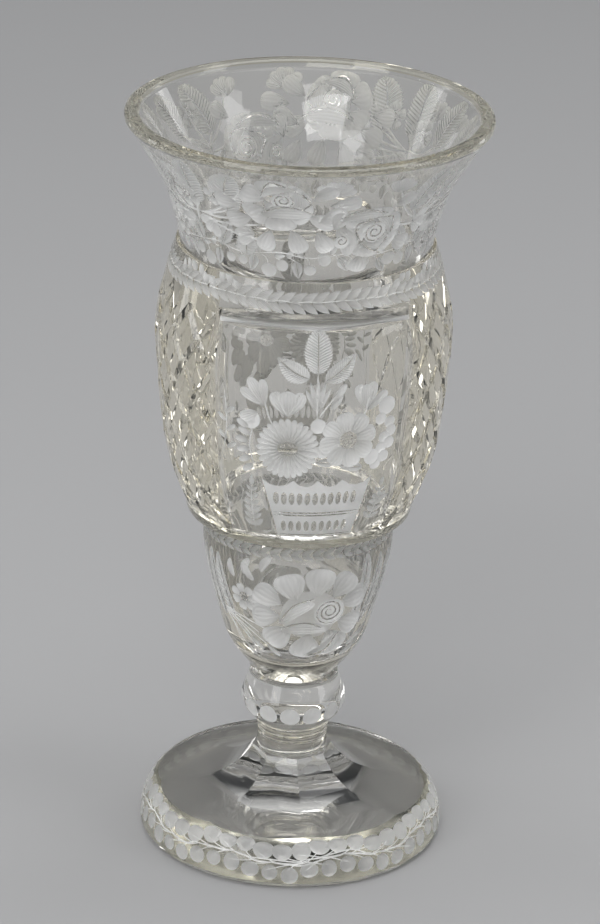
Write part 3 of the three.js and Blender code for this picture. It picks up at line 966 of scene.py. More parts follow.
collar_sheet = Sheet(collar, SPAN, even_rows(collar.length, 2.8))
body_sheet = Sheet(body, SPAN, even_rows(body.length, 3.0, (0.0, RING_STEP)), body_recess,
                   body_finish)
lower_sheet = Sheet(lower, SPAN, even_rows(lower.length, 2.8), ground=lower_finish)
print("rows on the sheets:", *(len(s.rows) for s in (collar_sheet, body_sheet, lower_sheet)))


# %% Creases along the cuts
def body_creases():
    """Edges and middles of the mitre lines, and the edges of the ledge's two finishes: the ground
    strip of painted highlight and the polished part.
    """
    half_mitre = math.degrees(MITRE_HALF_WIDTH / SHOULDER)
    for side in (-1, 1):
        for offset in (-half_mitre, 0, half_mitre):
            x = side * (PANEL_HALF + offset)
            yield [(x, RING_STEP), (x, LEDGE_HIGH)]
    for s in (LEDGE_LOW, LEDGE_LOW + LEDGE_HIGHLIGHT_STRIP, LEDGE_HIGH):
        yield [(-PANEL_HALF, s), (PANEL_HALF, s)]


def diamond_creases():
    """Edges and middles of the crossing cuts, in 25 points each."""
    offset = DIAMOND_HALF_WIDTH * DIAMOND_LEAN / (DIAMOND_WIDTH * DIAMOND_HEIGHT)
    rows = (DIAMOND_TOP - DIAMOND_BOTTOM) / DIAMOND_HEIGHT
    for middle in (-SIDE, SIDE):
        for slope in (-1, 1):
            for start in (k + shift for k in range(-8, 9) for shift in (-offset, 0, offset)):
                line = []
                for row in np.linspace(0, rows, 25):
                    x = slope * (row + start) * DIAMOND_PITCH
                    if abs(x) <= SIDE - PANEL_HALF and abs(middle + x) <= SIDE:
                        s = body.distance_at(DIAMOND_BOTTOM + row * DIAMOND_HEIGHT)
                        line.append((middle + x, s))
                if len(line) > 1:
                    yield line


body_sheet.creases = [*body_creases(), *diamond_creases()]
print("creases:", len(body_sheet.creases))

# %% [markdown]
# ## The engraved pictures
#
# The front panel has a pot of flowers: a daisy, an open flower, buds and leaves. Roses and leaves
# go round the collar, and a large rose fills the lower bowl. They are laid out here in degrees
# from the middle of the front and millimetres up the outline, from the marks at the back to the
# ones at the front, because the last touch of the wheel is the one that shows. A painted mask
# would be quicker, but then the light would find no hollows.


# %% Bouquet
def draw(picture, sheet):
    """Draws a picture on a sheet and says how many marks it has."""
    before = len(sheet.shapes)
    picture(sheet)
    print(f"{picture.__name__}: {len(sheet.shapes) - before} marks")


def bouquet(sheet):
    for angle, length in ((62, 12), (76, 14), (90, 15), (104, 14), (118, 12)):
        petal(sheet, 0.5, 62, length, 2.4, angle, form=POINTED, depth=0.4)
    stem(sheet, (0.6, 58), (0.3, 70), (0.3, 79), width=0.8)
    leaf(sheet, -3.0, 76.5, 16.5, 9.6, 148, 1.2, teeth=12)
    leaf(sheet, 3.6, 75.5, 17.0, 9.2, 41, -1.2, teeth=12)
    leaf(sheet, 0.3, 78.5, 18.6, 12.6, 90, form=FEATHER, teeth=14)
    # left bud and leaves
    each(petal, sheet, ((-20.5, 63.5, 13, 4.6, 150), (-20.5, 63.5, 14, 5.2, 122),
                        (-20.5, 63.5, 12, 4.2, 98)), form=BLUNT)
    stem(sheet, (-17.5, 55), (-19.5, 60), (-21, 66), width=0.7)
    round_mark(sheet, -27, 57, 4.4, depth=0.5)
    petal(sheet, -23.5, 60.5, 9, 5.6, 205, form=BLUNT)
    each(petal, sheet, ((-11.5, 59.5, 12.5, 6.2, 122), (-11.5, 59.5, 12.5, 6.2, 58),
                        (-11.5, 59.5, 11.5, 7.4, 90)), form=BLUNT, points=11)
    stem(sheet, (-11.5, 59.5), (-14, 64), (-16.5, 70), width=0.6)
    stem(sheet, (-11.5, 59.5), (-9, 64), (-6.5, 69.5), width=0.6)
    # right bud and leaves
    each(petal, sheet, ((21.5, 61, 13, 5.4, 112), (21.5, 61, 13, 5.4, 78), (21.5, 61, 12, 5.0, 95),
                        (21.5, 61, 12, 4.6, 38)), form=BLUNT)
    stem(sheet, (19, 55), (21, 61), (22.5, 68), width=0.7)
    round_mark(sheet, 30.8, 61.8, 4.2, depth=0.5)
    each(petal, sheet, ((6.0, 62.5, 8.5, 3.2, 55), (7.5, 67.0, 8.5, 3.2, 55)))
    stem(sheet, (1, 59), (5, 65), (9, 70), width=0.6)
    # rows of small round leaves at both sides
    each(round_mark, sheet, (
        (28.5, 56.2, 2.7), (33.0, 54.0, 2.7), (34.0, 50.0, 2.7), (30.8, 47.4, 2.7),
        (33.6, 44.6, 2.7), (29.8, 42.8, 2.7), (31.4, 38.8, 2.7), (27.6, 36.0, 2.7)))
    for x, s, angle in ((-27, 50, 160), (-28, 47, 175), (-27.5, 43.5, 190), (-27, 40, 205),
                        (-26, 36.5, 215), (-28, 53, 150)):
        petal(sheet, x, s, 6.0, 3.0, angle)
    stem(sheet, (-25.5, 36), (-27.5, 45), (-26, 54), width=0.6)
    # leaves over the pot
    leaf(sheet, 21.5, 35.2, 12, 4.6, 168, rib=0.5)
    leaf(sheet, 9.0, 38.6, 9, 3.8, 178, rib=0.5)
    each(round_mark, sheet, ((25.5, 39.5, 3.6), (1.2, 55.5, 3.4), (3.4, 44.0, 3.2)))
    # the open flower and the daisy
    petals_round(sheet, 14.3, 48.6, 2.2, 10.6, 8.2, 8, turn=12, depth=0.5, points=11)
    round_mark(sheet, 14.3, 48.6, 3.9, finish=CLEAR)
    for i in range(8):
        for far in (1.4, 2.9):
            place = point_at(sheet, 14.3, 48.6, 45 * i + 20 * far, far)
            round_mark(sheet, *place, 0.62, depth=0.3, finish=BRIGHT)
    daisy(sheet, -11.3, 45.0, 13.8, 28, 3.0)


draw(bouquet, body_sheet)


# %% Pot
def pot(sheet):
    """A ground trapezium with a scalloped top, two rows of clear ovals and polished lines."""
    top = [(-22.5, 30.4)]
    cusps = (-22.5, -8.5, 2.2, 13.0, 26.5)
    for low, high in zip(cusps, cusps[1:]):
        for t in (0.25, 0.5, 0.75, 1):
            top.append((low + (high - low) * t, 30.4 - 3.0 * math.sin(math.pi * t) ** 0.7))
    bottom = [(x, 0.7) for x in (-16.8, -7, 3, 13, 22.8)]
    inner = [(x, s) for s in (3.5, 9.4, 16.5, 24.8) for x in np.arange(-14, 21, 3.5)]
    sheet.add(Plate, top[::-1] + bottom, 0.12, inner)
    for count, low, high, s, tall in ((11, -16.3, 19.2, 21.3, 3.2), (9, -13.4, 17.3, 6.3, 2.9)):
        for i in range(count):
            x = low + (high - low) * i / (count - 1)
            round_mark(sheet, x, s, tall, 0.40, depth=0.45, finish=BRIGHT)
    for width, *knots in ((0.7, (-18.3, 13.6), (2.5, 13.6), (23.5, 13.6)),
                          (0.7, (-18.0, 12.2), (2.5, 12.2), (23.2, 12.2)),
                          (0.9, (-22.6, 30.6), (-19.6, 15), (-16.9, 0.9)),
                          (0.9, (26.6, 30.6), (24.6, 15), (22.9, 0.9)),
                          (0.6, (-16.9, 1.3), (3, 1.2), (22.9, 1.3))):
        stem(sheet, *knots, width=width, finish=BRIGHT)


draw(pot, body_sheet)


# %% Sprigs beside the pot
def pot_side_sprigs(sheet):
    sprig(sheet, -28.0, 2.5, 24, 88, 6, 6.2, 3.0, 48, 0.6)
    sprig(sheet, 30.5, 5.5, 19, 84, 5, 6.0, 2.8, 52, -0.6)
    for angle in (60, 100, 140, 180, 20):
        petal(sheet, 33.5, 17, 5.0, 2.4, angle)
    stem(sheet, (-39.5, 40), (-37.5, 55), (-38.5, 70), width=0.5)
    for i in range(5):
        petal(sheet, -37.8, 42 + 4 * i, 5.2, 2.2, 140 if i % 2 else 35)


draw(pot_side_sprigs, body_sheet)


# %% Garland on the shoulder
def laurel(sheet, s, pitch, length, width, lean, base, wave=0.0):
    """Pairs of pointed leaves along a line round the vase, spaced as on the radius base."""
    count = round(math.radians(180) * base / pitch)
    for i in range(count):
        x = -90 + 180 * (i + 0.5) / count
        up = s + wave * math.sin(math.radians(6 * x))
        for side in (-lean, lean):
            petal(sheet, x, up, length, width, side, form=POINTED, depth=0.4, points=7,
                  finish=WORN)


def shoulder(sheet):
    laurel(sheet, 109.0, 4.9, 8.0, 3.3, 33, 60.0, wave=0.5)
    for side in (-1, 1):
        for i in range(9):
            petal(sheet, side * (34 + 4.2 * i), 111.5 + 1.6 * math.sin(i * 1.3), 6.0, 3.0,
                  90 - side * (60 - 14 * (i % 3)), form=POINTED, points=7)
    for x in range(-90, 90, 10):
        stem(sheet, (x, 109 + 0.5 * math.sin(math.radians(6 * x))), (x + 5, 109.2),
             (x + 9.6, 109 + 0.5 * math.sin(math.radians(6 * x + 57))), width=0.5, steps=3)


draw(shoulder, body_sheet)


# %% Garland round the neck
def neck_garland(sheet):
    """Berries and small leaves along the neck, hanging from a waving stem."""
    for i in range(30):
        x = -88 + 6 * i
        line = 12.0 + 1.2 * math.sin(0.9 * i)
        drop = 4.6 + 2.2 * math.sin(2.4 * i)
        stem(sheet, (x - 3, line), (x - 1, line - 1), (x, line - drop + 2), width=0.45, steps=3)
        if i % 3 == 1:
            leaf(sheet, x, line - 1.5, 8.0, 4.2, -80 + 25 * math.sin(1.7 * i), rib=0.4)
        else:
            round_mark(sheet, x, line - drop, 2.7 + 0.5 * math.sin(1.3 * i),
                       1 + 0.12 * math.sin(2 * i), depth=0.45, finish=WORN)
        petal(sheet, x + 2.4, line, 5.0, 2.6, 60 + 60 * math.sin(2.1 * i), form=POINTED)
    for x in range(-86, 90, 30):
        stem(sheet, (x, 12.2), (x + 10, 13.4), (x + 20, 11.4), (x + 30, 12.2), width=0.6)


draw(neck_garland, collar_sheet)


# %% Leaves of the collar
def collar_leaves(sheet):
    # leaves of the lower half, under the stems
    each(leaf, sheet, (
        (-44, 13, 14, 7.5, 62), (-55, 12, 14, 7.5, 112), (-32, 10, 13, 9.5, 84),
        (-65, 13, 14, 7.0, 75), (-75, 12, 14, 7.5, 105), (-85, 13, 13, 7.0, 70),
        (37, 11, 14, 8.0, 104), (48, 11, 14, 7.5, 72), (58, 13, 14, 7.0, 112),
        (68, 12, 14, 7.5, 75), (79, 11, 14, 7.0, 105), (89, 13, 13, 7.0, 80)), rib=0.5, teeth=9)
    # sprays of leaflets
    for x, s, *angles in (
            (26, 44, 35, 62, 90, 118), (62, 40, 70, 95, 120), (-61, 41, 60, 90, 120),
            (-77, 41, 60, 90, 120), (3, 46, 15, 45, 75, 105, 140), (-27, 21, 150, 185, 220),
            (80, 40, 60, 90, 120), (40, 25, -50, -15, 20), (-45, 24, 195, 230, 265),
            (54, 24, 200, 235, 270, 305, 340), (-66, 23, 205, 240, 275, 310, 345),
            (72, 23, 200, 235, 270, 305, 340), (-84, 24, 205, 240, 275, 310, 345)):
        for angle in angles:
            petal(sheet, x, s, 9.0, 4.6, angle, form=BLUNT, depth=0.4)
    # feather leaves that stand up to the rim
    each(leaf, sheet, (
        (-37, 30, 25, 16, 74, 2.0), (-52, 31, 25, 15.5, 82, 1.5), (-69, 31, 24, 14.5, 100, -1.5),
        (-85, 30, 24, 14.5, 92, 1.5), (38, 30, 25, 15.5, 68, 1.5), (54, 31, 24, 14.5, 66, 1.5),
        (72, 31, 24, 14.5, 90, -1.5)), form=FEATHER, teeth=15, rib=0.8)
    # long stems that meet between the flowers and carry the leaves
    each(stem, sheet, (
        ((-52, 26), (-42, 26), (-30, 29), (-20, 35)), ((-52, 25), (-38, 20), (-20, 18)),
        ((-52, 26), (-46, 27), (-37, 31)), ((-55, 20), (-54, 26), (-52, 32)),
        ((-52, 26), (-61, 26), (-69, 32)), ((-52, 24), (-40, 23.5), (-24, 26)),
        ((-58, 22), (-72, 24), (-85, 31)), ((-56, 20), (-66, 18), (-80, 20)),
        ((41, 24), (40, 28), (38, 31)), ((41, 24), (46, 28), (54, 32)),
        ((41, 25), (33, 33), (27, 45)), ((41, 24), (52, 25), (66, 27), (72, 32)),
        ((41, 23), (50, 20), (66, 19)), ((60, 25), (76, 26), (90, 30)),
        ((62, 19), (74, 17), (88, 19)), ((41, 23), (34, 24), (28, 28)),
        ((-52, 25.5), (-44, 29), (-34, 37), (-30, 44)), ((-53, 27), (-58, 35), (-60, 45)),
        ((41, 25), (46, 34), (46, 46)), ((41, 24.5), (52, 30), (62, 41)),
        ((-60, 25), (-74, 30), (-77, 43)), ((66, 27), (78, 34), (81, 44))), width=1.15)


draw(collar_leaves, collar_sheet)


# %% Roses of the collar
def collar_flowers(sheet):
    # buds and scrolls between the stems
    for x, s, radius, turn in ((-57, 33.5, 6.0, 40), (-40, 38, 5.2, 160), (47, 41, 5.4, 20),
                               (60, 14.5, 4.8, 90), (-70, 15, 4.8, 10), (82, 38, 5.4, 200)):
        petals_round(sheet, x, s, radius * 0.35, radius * 0.85, radius * 0.95, 5, turn, depth=0.6)
        spiral(sheet, x, s, radius * 0.5, 1.6, turn, width=0.5)
    # two roses with petals that lie over each other
    each(petal, sheet, (
        (-6, 33, 13, 9, -25), (2, 39, 13, 8.5, 8), (-1, 30, 12, 8, 30), (-27, 30, 12, 9, 200),
        (-31, 36, 11, 8, 175), (5, 25, 10, 8, 70), (-4, 42, 12, 8, 40), (-12, 25, 12, 8, -70),
        (-20, 24, 11, 8, -110), (-2, 24, 11, 8, -60), (28, 35, 10, 8, 40), (32, 18, 9, 8, -30),
        (18, 13, 9, 8, -100)), form=BLUNT, depth=0.85, points=11)
    rose(sheet, -17, 39, 14, 35, 0.34, 0.25)
    crescent(sheet, (-23, 32.5, 20, 7.5, 4), 1.6, 0.6, 13, ((-23, 33), (-13, 37.2), (-2.5, 33.6)),
             0.85)
    rose(sheet, 21, 23.5, 12, -40, 0.42, 0.15)
    crescent(sheet, (7.5, 31.0, 17, 6.0, 3), 1.6, 0.6, 13, ((7, 31), (16, 34.6), (26, 31.6)), 0.85)
    petal(sheet, 6.5, 26, 15, 7.5, -70, bend=1.8, depth=0.55, points=11)
    round_mark(sheet, 8.5, 19, 3.2, depth=0.5)
    spiral(sheet, 8.5, 19, 2.8, 1.5, width=0.5)


draw(collar_flowers, collar_sheet)


# %% Leaves of the lower bowl
def lower_leaves(sheet):
    laurel(sheet, 75.2, 4.4, 6.0, 2.3, 24, 39.7)
    # long feather leaves at the sides, upright to the ring
    each(leaf, sheet, (
        (36, 38, 34, 6.2, 84, -2.0), (46, 36, 34, 6.4, 80, -2.0), (57, 35, 34, 6.4, 80, -1.6),
        (68, 34, 34, 6.4, 88, 1.4), (79, 34, 34, 6.4, 94, 1.4), (-54, 38, 31, 6.2, 100, 1.6),
        (-65, 37, 32, 6.4, 96, 1.6), (-77, 36, 33, 6.4, 92, 1.4), (-89, 35, 33, 6.2, 92, 0.0)),
        form=OVAL, depth=0.9)
    # straight lines that fan down from the left
    for x, s in ((-38, 30), (-30, 33), (-24, 27), (-34, 24), (-44, 22), (-20, 35), (-50, 25)):
        stem(sheet, (-66, 42), ((-66 + x) / 2, (42 + s) / 2 + 1.5), (x, s), width=0.7)
    each(petal, sheet, ((-40, 31, 7.5, 2.4, -50), (-33, 34, 7.5, 2.4, -40),
                        (-47, 27, 7.5, 2.4, -60), (-27, 28, 7.5, 2.4, -45)))
    # bent leaves at the right and at the upper left, each with its length and its line's length
    for x, s, length, width, angle, bend, line in (
            (58, 34, 13, 4.2, 215, 1.2, 13), (52, 29, 12, 4.2, 225, 1.2, 12),
            (66, 30, 13, 4.2, 235, 1.2, 13), (76, 28, 12, 4.2, 250, 1.2, 12),
            (84, 30, 12, 4.2, 262, 1.2, 12), (-48, 60, 8.5, 3.6, 100, 0.8, 7.5),
            (-40, 63, 8.5, 3.6, 70, 0.8, 7.5), (-33, 61, 8.5, 3.6, 120, 0.8, 7.5),
            (-28, 66, 8.5, 3.6, 60, 0.8, 7.5)):
        petal(sheet, x, s, length, width, angle, bend)
        stem(sheet, (x, s), point_at(sheet, x, s, angle, line), width=0.6, steps=3)
    # small flower at the left
    petals_round(sheet, -42, 51, 1.2, 5.6, 4.2, 7)
    spiral(sheet, -42, 51, 2.6, 1.6, width=0.5)
    leaf(sheet, -26.5, 46.5, 11, 6.0, 100)


draw(lower_leaves, lower_sheet)


# %% Rose of the lower bowl
def lower_rose(sheet):
    """Broad petals over a faint ground, crescents and the wound heart."""
    round_mark(sheet, 4.0, 46, 12.5, depth=0.25, finish=FAINT)
    each(petal, sheet, (
        (-15, 51, 13.5, 12.5, 152), (-6, 53, 14, 13.5, 108), (7, 55, 14, 13.5, 82),
        (-16, 45, 13, 12, 188), (-9, 39, 13.5, 12.5, 222), (4, 36, 13.5, 13, 262),
        (17, 37, 13.5, 13, 300), (24, 42, 13, 12, 335), (24, 50, 13, 12.5, 15),
        (18, 54, 13.5, 13, 50)), form=BLUNT, depth=0.85, points=11)
    each(crescent, sheet, (
        ((-17, 41, 18.5, 6.2, 36), 1.8, 0.6, 13, ((-17, 41.5), (-7, 50.5), (6, 54)), 0.75),
        ((-15.5, 37.5, 19.5, 6.4, 0), 1.4, 0.6, 13, ((-15.5, 38), (0, 41.4), (13.5, 38)), 0.75),
        ((4, 24, 17, 5.4, 40), -2.2, 0.55, 11, ((2, 23.5), (18, 25.5), (28, 35)), 0.7)))
    round_mark(sheet, 17.5, 46.5, 6.9, depth=0.5)
    spiral(sheet, 17.5, 46.5, 6.8, 3.0, turn=20)


draw(lower_rose, lower_sheet)

# %% [markdown]
# ## Inner wall, rim and ring
#
# The hollow was blown, so its wall follows the outside and is thinner at the rim than in the body,
# and its floor is rounded. Solidify would give the wall one thickness and copy the cuts inside.
# Here the inner wall has its own outline, and spin swings it with the rounded rim and the ring.

# %% Outline of the hollow
LOWER_WALL, BODY_WALL, NECK_WALL, RIM_WALL = 7.8, 8.6, 7.0, 6.3
FLOOR_THICKNESS, FLOOR_ROUNDING = 12.0, 14.0
WALL_END = RIM - 2.7


def cavity_knots():
    """Points of the hollow: rounded floor, then the outside less the wall."""
    floor_end = BOWL_BASE + FLOOR_THICKNESS + FLOOR_ROUNDING
    floor_radius = lower.radius_at(floor_end) - LOWER_WALL
    for i in range(1, 5):
        turn = math.radians(22.5 * i)
        yield floor_radius * math.sin(turn), floor_end - FLOOR_ROUNDING * math.cos(turn)
    for outline, low, high, walls, shares in (
            (lower, floor_end, RING_BOTTOM, (LOWER_WALL, LOWER_WALL), (0.35, 0.75)),
            (body, RING_TOP, NECK, (BODY_WALL, BODY_WALL), (0.1, 0.3, 0.55, 0.75, 0.9)),
            (collar, NECK, WALL_END, (NECK_WALL, RIM_WALL), (0.04, 0.3, 0.55, 0.77, 1))):
        for share in shares:
            z = low + share * (high - low)
            yield outline.radius_at(z) - (walls[0] + (walls[1] - walls[0]) * share), z


# The first knot lies past the axis, so that the floor is nearly level where it starts
floor_start = [(-5.9, BOWL_BASE + FLOOR_THICKNESS + 0.4), (0, BOWL_BASE + FLOOR_THICKNESS)]
inner = smooth_curve([*floor_start, *cavity_knots()], 4)[4:]
mouth = inner[-1][0]
print(f"mouth radius: {mouth:.1f} mm, {len(inner)} points on the inner wall")

# %% Outlines of the rim, the ring, the neck and the seat
# Each piece reaches half way over the gap that the CAD leaves between two gathers
HALF_GAP = 0.15
BOWL_JOINT_RADIUS = 15.9

rim = [(74.9, 317.3), (74.95, 318.6), (74.6, 319.5), (73.7, RIM), (72.0, RIM),
       (mouth + 1.2, RIM), (mouth + 0.4, 319.5), (mouth + 0.1, 318.8)]
ring = [(39.6, RING_BOTTOM), (45.6, RING_BOTTOM), (46.5, 147.8), (46.9, 148.4), (47.5, 150.9),
        (47.55, 151.5), (47.6, RING_TOP)]
neck = [(53.2, NECK), (52.95, 265.42), (52.6, 265.46), (51.7, NECK)]
seat = [(BOWL_JOINT_RADIUS, BOWL_BASE), (BOWL_JOINT_RADIUS, BOWL_BASE - HALF_GAP)]
print("rim:", len(rim), "points, ring:", len(ring), "points")

# %% Bowl
bm = bmesh.new()
for sheet in (collar_sheet, body_sheet, lower_sheet):
    wrap(bm, sheet)
for outline, finish in ((rim, ROUNDED), ([rim[-1], *inner[::-1]], CLEAR), (ring, ROUNDED),
                        (neck, STRAW), (seat, STRAW)):
    spin_outline(bm, outline, finish)
close_joint(bm, BOWL_JOINT_RADIUS, BOWL_BASE - HALF_GAP)
close_piece(bm, "cut_bowl", "bowl")

# %% [markdown]
# ## Knop
#
# The knop is a flattened ball. A row of round hollows was ground just under its widest line with
# the rim of a small wheel, and left matte. A squashed sphere would be close, but the outline keeps
# its two ends at the joints, and the sheet gives each hollow a clean edge.

# %% Hollows on the knop
PUNTY_COUNT, PUNTY_RADIUS, PUNTY_HEIGHT, PUNTY_TURN, PUNTY_DEPTH = 14, 4.3, 8.6, -9, 0.85

knop_sheet = Sheet(knop, 360, even_rows(knop.length, 1.5))
for i in range(PUNTY_COUNT):
    angle = (PUNTY_TURN + 360 * i / PUNTY_COUNT + 180) % 360 - 180
    low = knop.distance_at(KNOP_BASE + PUNTY_HEIGHT) - PUNTY_RADIUS
    knop_sheet.add(Petal, angle, low, 2 * PUNTY_RADIUS, 2 * PUNTY_RADIUS, 90, depth=PUNTY_DEPTH,
                   points=13)
print("hollows on the knop:", len(knop_sheet.shapes))

# %% Knop
KNOP_TOP_RADIUS, KNOP_BASE_RADIUS = 18.6, 15.6

bm = bmesh.new()
wrap(bm, knop_sheet)
top, base = KNOP_TOP + HALF_GAP, KNOP_BASE - HALF_GAP
spin_outline(bm, [(KNOP_TOP_RADIUS, KNOP_TOP), (KNOP_TOP_RADIUS, top), (BOWL_JOINT_RADIUS, top)])
close_joint(bm, BOWL_JOINT_RADIUS, top)
spin_outline(bm, [(KNOP_BASE_RADIUS, KNOP_BASE), (KNOP_BASE_RADIUS, base)])
close_joint(bm, KNOP_BASE_RADIUS, base)
close_piece(bm, "knop_ball", "knop")

# %% [markdown]
# ## Merese and stem
#
# The merese is a wafer with a rounded edge, and the stem is a short cylinder with two turned
# grooves. A bevelled disc would make the one and inset loops the other. Spin makes both from their
# outlines, so the grooves keep their round section.

# %% Merese
MERESE_BASE, MERESE_TOP, MERESE_RADIUS = 47.0, 49.6, 14.2

bm = bmesh.new()
low, high = MERESE_BASE - HALF_GAP, MERESE_TOP + HALF_GAP
half = (MERESE_TOP - MERESE_BASE) / 2
edge = [(MERESE_RADIUS + half * math.cos(a), MERESE_BASE + half + half * math.sin(a))
        for a in np.linspace(-math.pi / 2, math.pi / 2, 13)]
spin_outline(bm, [(MERESE_RADIUS, low), *edge, (MERESE_RADIUS, high)], STRAW)
close_joint(bm, MERESE_RADIUS, low)
close_joint(bm, MERESE_RADIUS, high)
close_piece(bm, "merese_wafer", "merese")

# %% Stem
STEM_BASE, STEM_TOP, STEM_RADIUS = 40.3, 46.7, 14.8
GROOVE_DEPTH, GROOVE_HALF_WIDTH = 0.5, 0.55

bm = bmesh.new()
low, high = STEM_BASE - HALF_GAP, STEM_TOP + HALF_GAP
points = [(STEM_RADIUS, low), (STEM_RADIUS, STEM_BASE)]
for share in (0.5, 0.85):
    middle = STEM_BASE + share * (STEM_TOP - STEM_BASE)
    points += [(STEM_RADIUS - GROOVE_DEPTH * (1 + math.cos(a)) / 2,
                middle + GROOVE_HALF_WIDTH * a / math.pi)
               for a in np.linspace(-math.pi, math.pi, 9)]
points += [(STEM_RADIUS - 0.15, STEM_TOP - 0.1), (STEM_RADIUS - 0.5, STEM_TOP),
           (MERESE_RADIUS, high)]
spin_outline(bm, points, STRAW)
close_joint(bm, STEM_RADIUS, low)
close_joint(bm, MERESE_RADIUS, high)
close_piece(bm, "turned_stem", "stem")

# %% [markdown]
# ## Foot
#
# The foot is a thick disc with a bulging edge. Eight panels, hollow towards the stem, were ground
# into its top, so ridges run in from the edge to an eight-sided ledge under the stem. Straight
# cuts through a disc would leave flat panels. Here eight-sided rings of points rise along the
# hollow line of a ridge, so each panel is hollow in the same way.

# %% Edge of the foot
FOOT_RADIUS, FOOT_HEIGHT, FOOT_TURN = 64.5, 40.0, 2
PANEL_END_RADIUS, PANEL_END_HEIGHT, WIDEST_HEIGHT, EDGE_FULLNESS = 55.0, 20.5, 5, 0.04


def edge_point(angle):
    """A point of the bulging edge, from its widest place at 0 to its top at 90 degrees."""
    a = math.radians(angle)
    run, rise = FOOT_RADIUS - PANEL_END_RADIUS, PANEL_END_HEIGHT - WIDEST_HEIGHT
    return (FOOT_RADIUS - run * (1 - math.cos(a)) - EDGE_FULLNESS * run * math.sin(2 * a),
            WIDEST_HEIGHT + rise * math.sin(a))


foot_edge = Outline([(64.32, 2.5), (64.45, 3.7), *map(edge_point, np.linspace(0, 90, 31))])
print(f"foot edge outline: {foot_edge.length:.1f} mm long")

# %% Ridges and panels of the foot
RIDGE_TOP_RADIUS, LEDGE_RADIUS, LEDGE_INNER_RADIUS = 15.9, 16.8, 14.96
RIDGE_SLOPE, RIDGE_SWEEP, RIDGE_POWER = 3.5, 14.0, 4.5
FOOT_BAND_START, PANEL_SEARCH, PANEL_TOUCH = 15.0, 8, 1e-3


def ridge_height(q):
    """Height of a ridge at distance q from the axis: nearly level, then steep at the stem."""
    left = (PANEL_END_RADIUS - q) / (PANEL_END_RADIUS - RIDGE_TOP_RADIUS)
    return PANEL_END_HEIGHT + RIDGE_SLOPE * left + RIDGE_SWEEP * np.maximum(left, 0) ** RIDGE_POWER


def eight_sided(x):
    """Radius of an eight-sided ring at angle x, as a share of its corner radius."""
    return math.cos(math.radians(22.5)) / np.cos(np.radians(np.mod(x, 45) - 22.5))


def panel_edge(x):
    """Distance along the foot's edge at which the ground panels begin."""
    s = np.linspace(foot_edge.length - PANEL_SEARCH, foot_edge.length, 200)
    r, z, _, _ = foot_edge.at(s)
    above = z[None, :] - ridge_height(r[None, :] / eight_sided(x)[:, None])
    first = np.argmax(above > -PANEL_TOUCH, axis=1)
    first[(above <= -PANEL_TOUCH).all(axis=1)] = len(s) - 1
    return s[first]


def foot_warp(x, s):
    """Moves the points of the edge band so that the band ends where the panels begin."""
    share = np.clip((s - FOOT_BAND_START) / (foot_edge.length - FOOT_BAND_START), 0, 1)
    return s + share * (panel_edge(x) - foot_edge.length)


# %% Garland of the foot
def garland_line(x):
    return 10.4 + 1.5 * math.sin(math.radians(8 * x)) + 0.5 * math.sin(math.radians(24 * x + 50))


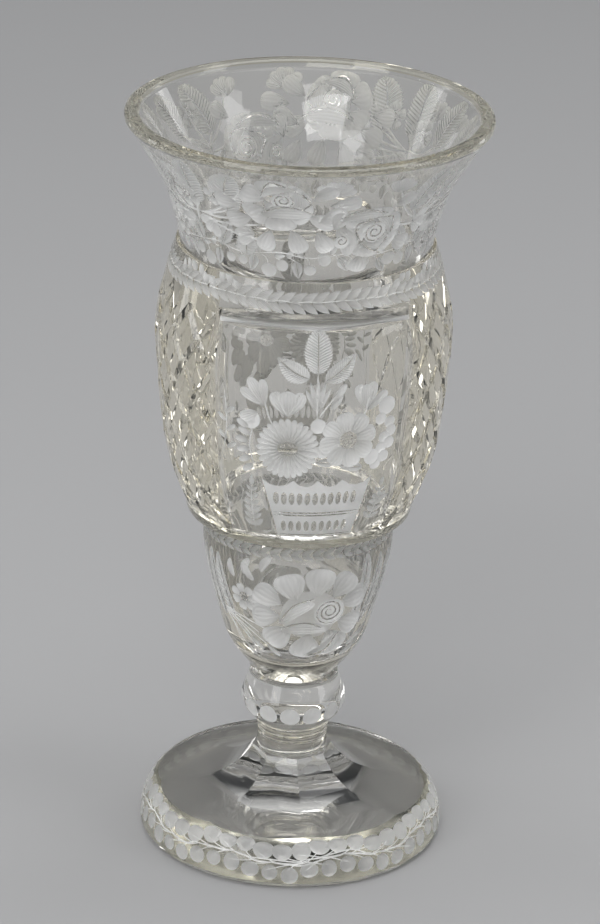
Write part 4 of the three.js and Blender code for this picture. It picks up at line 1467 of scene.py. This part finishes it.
def foot_garland(sheet):
    """Rounded leaves above and below a waving stem, each on its own short branch."""
    leaf_places = [-90 + 180 * (i + 0.5) / 24 for i in range(24)]
    for i, x in enumerate(leaf_places):
        size = 1 + 0.08 * math.sin(2.4 * i)
        each(petal, sheet, ((x, garland_line(x) + 1.2, 8.2 * size, 9.2 - 0.5 * (i % 3), 78),
                            (x + 3.4, garland_line(x + 3.4) - 1.2, 7.0 / size,
                             6.8 + 0.5 * (i % 3), -82)),
             depth=0.8, finish=FAINT, pattern=PLAIN, points=13)
    for x in leaf_places:
        way = 1 if x > 2 else -1
        for side, shift in ((1, 0.0), (-1, 3.4)):
            low = x + shift - way * 9
            stem(sheet, (low, garland_line(low)), (low + way * 4.5, garland_line(low) + side * 0.9),
                 (x + shift + way, garland_line(x) + side * 3.6), width=0.45, steps=3)
    for start in range(-90, 90, 15):
        knots = [(x, garland_line(x)) for x in range(start, start + 16, 5)]
        stem(sheet, *knots, width=0.8, steps=3)
    for start, up in ((-24, 1.4), (-10, -1.5), (4, 1.5)):
        knots = [(start + 7 * j, garland_line(start + 7 * j) + up * math.sin(math.pi * j / 3))
                 for j in range(4)]
        stem(sheet, *knots, width=0.6, steps=4)


foot_sheet = Sheet(foot_edge, SPAN, even_rows(foot_edge.length, 1.9), ground=lambda x, s: EDGE)
foot_garland(foot_sheet)
print("foot:", len(foot_sheet.shapes), "marks")


# %% Panels of the foot
def add_foot_panels(bm):
    """Rings of points from the panel edge up to the ledge and the joint, joined by faces."""
    columns = np.arange(0, ROUND, COLUMN)
    edge_radius, edge_height, _, _ = foot_edge.at(panel_edge(columns))
    corner_radius = edge_radius / eight_sided(columns)
    loops = [(edge_radius, edge_height)]
    for share in np.linspace(0, 1, 25)[1:]:
        q = corner_radius + (LEDGE_RADIUS - corner_radius) * math.sin(math.pi / 2 * share)
        loops.append((q * eight_sided(columns), ridge_height(q)))
    loops += [(LEDGE_INNER_RADIUS, ridge_height(LEDGE_RADIUS)), (STEM_RADIUS, FOOT_HEIGHT),
              (STEM_RADIUS, FOOT_HEIGHT + HALF_GAP)]
    rings = [add_ring(bm, r, z, columns + FOOT_TURN) for r, z in loops]
    for low, high in zip(rings, rings[1:]):
        for quad in zip(low, low[1:] + low[:1], high[1:] + high[:1], high):
            bm.faces.new(quad).smooth = True
    bm.faces.new(rings[-1]).material_index = FUSED


# %% Foot
foot_base = [(64.32, 2.5), (63.6, 1.0), (62.7, 0.2), (62.3, 0), (0, 0)]

bm = bmesh.new()
wrap(bm, foot_sheet, FOOT_TURN, foot_warp)
add_foot_panels(bm)
spin_outline(bm, foot_base, turn=FOOT_TURN)
close_piece(bm, "panel_cut_foot", "foot", sharp_angle=12)

# %% [markdown]
# ## Light paths
#
# A ray may cross many walls of a hollow, cut vessel before it reaches the floor, and a ray that is
# given up too early leaves a black spot. The number of bounces is raised for that. More samples
# would not help, because they all stop at the same wall.

# %% Light paths in glass
scene.cycles.max_bounces = 24
scene.cycles.transmission_bounces = 24
scene.cycles.glossy_bounces = 16
scene.cycles.transparent_max_bounces = 24
print("bounces:", scene.cycles.max_bounces)
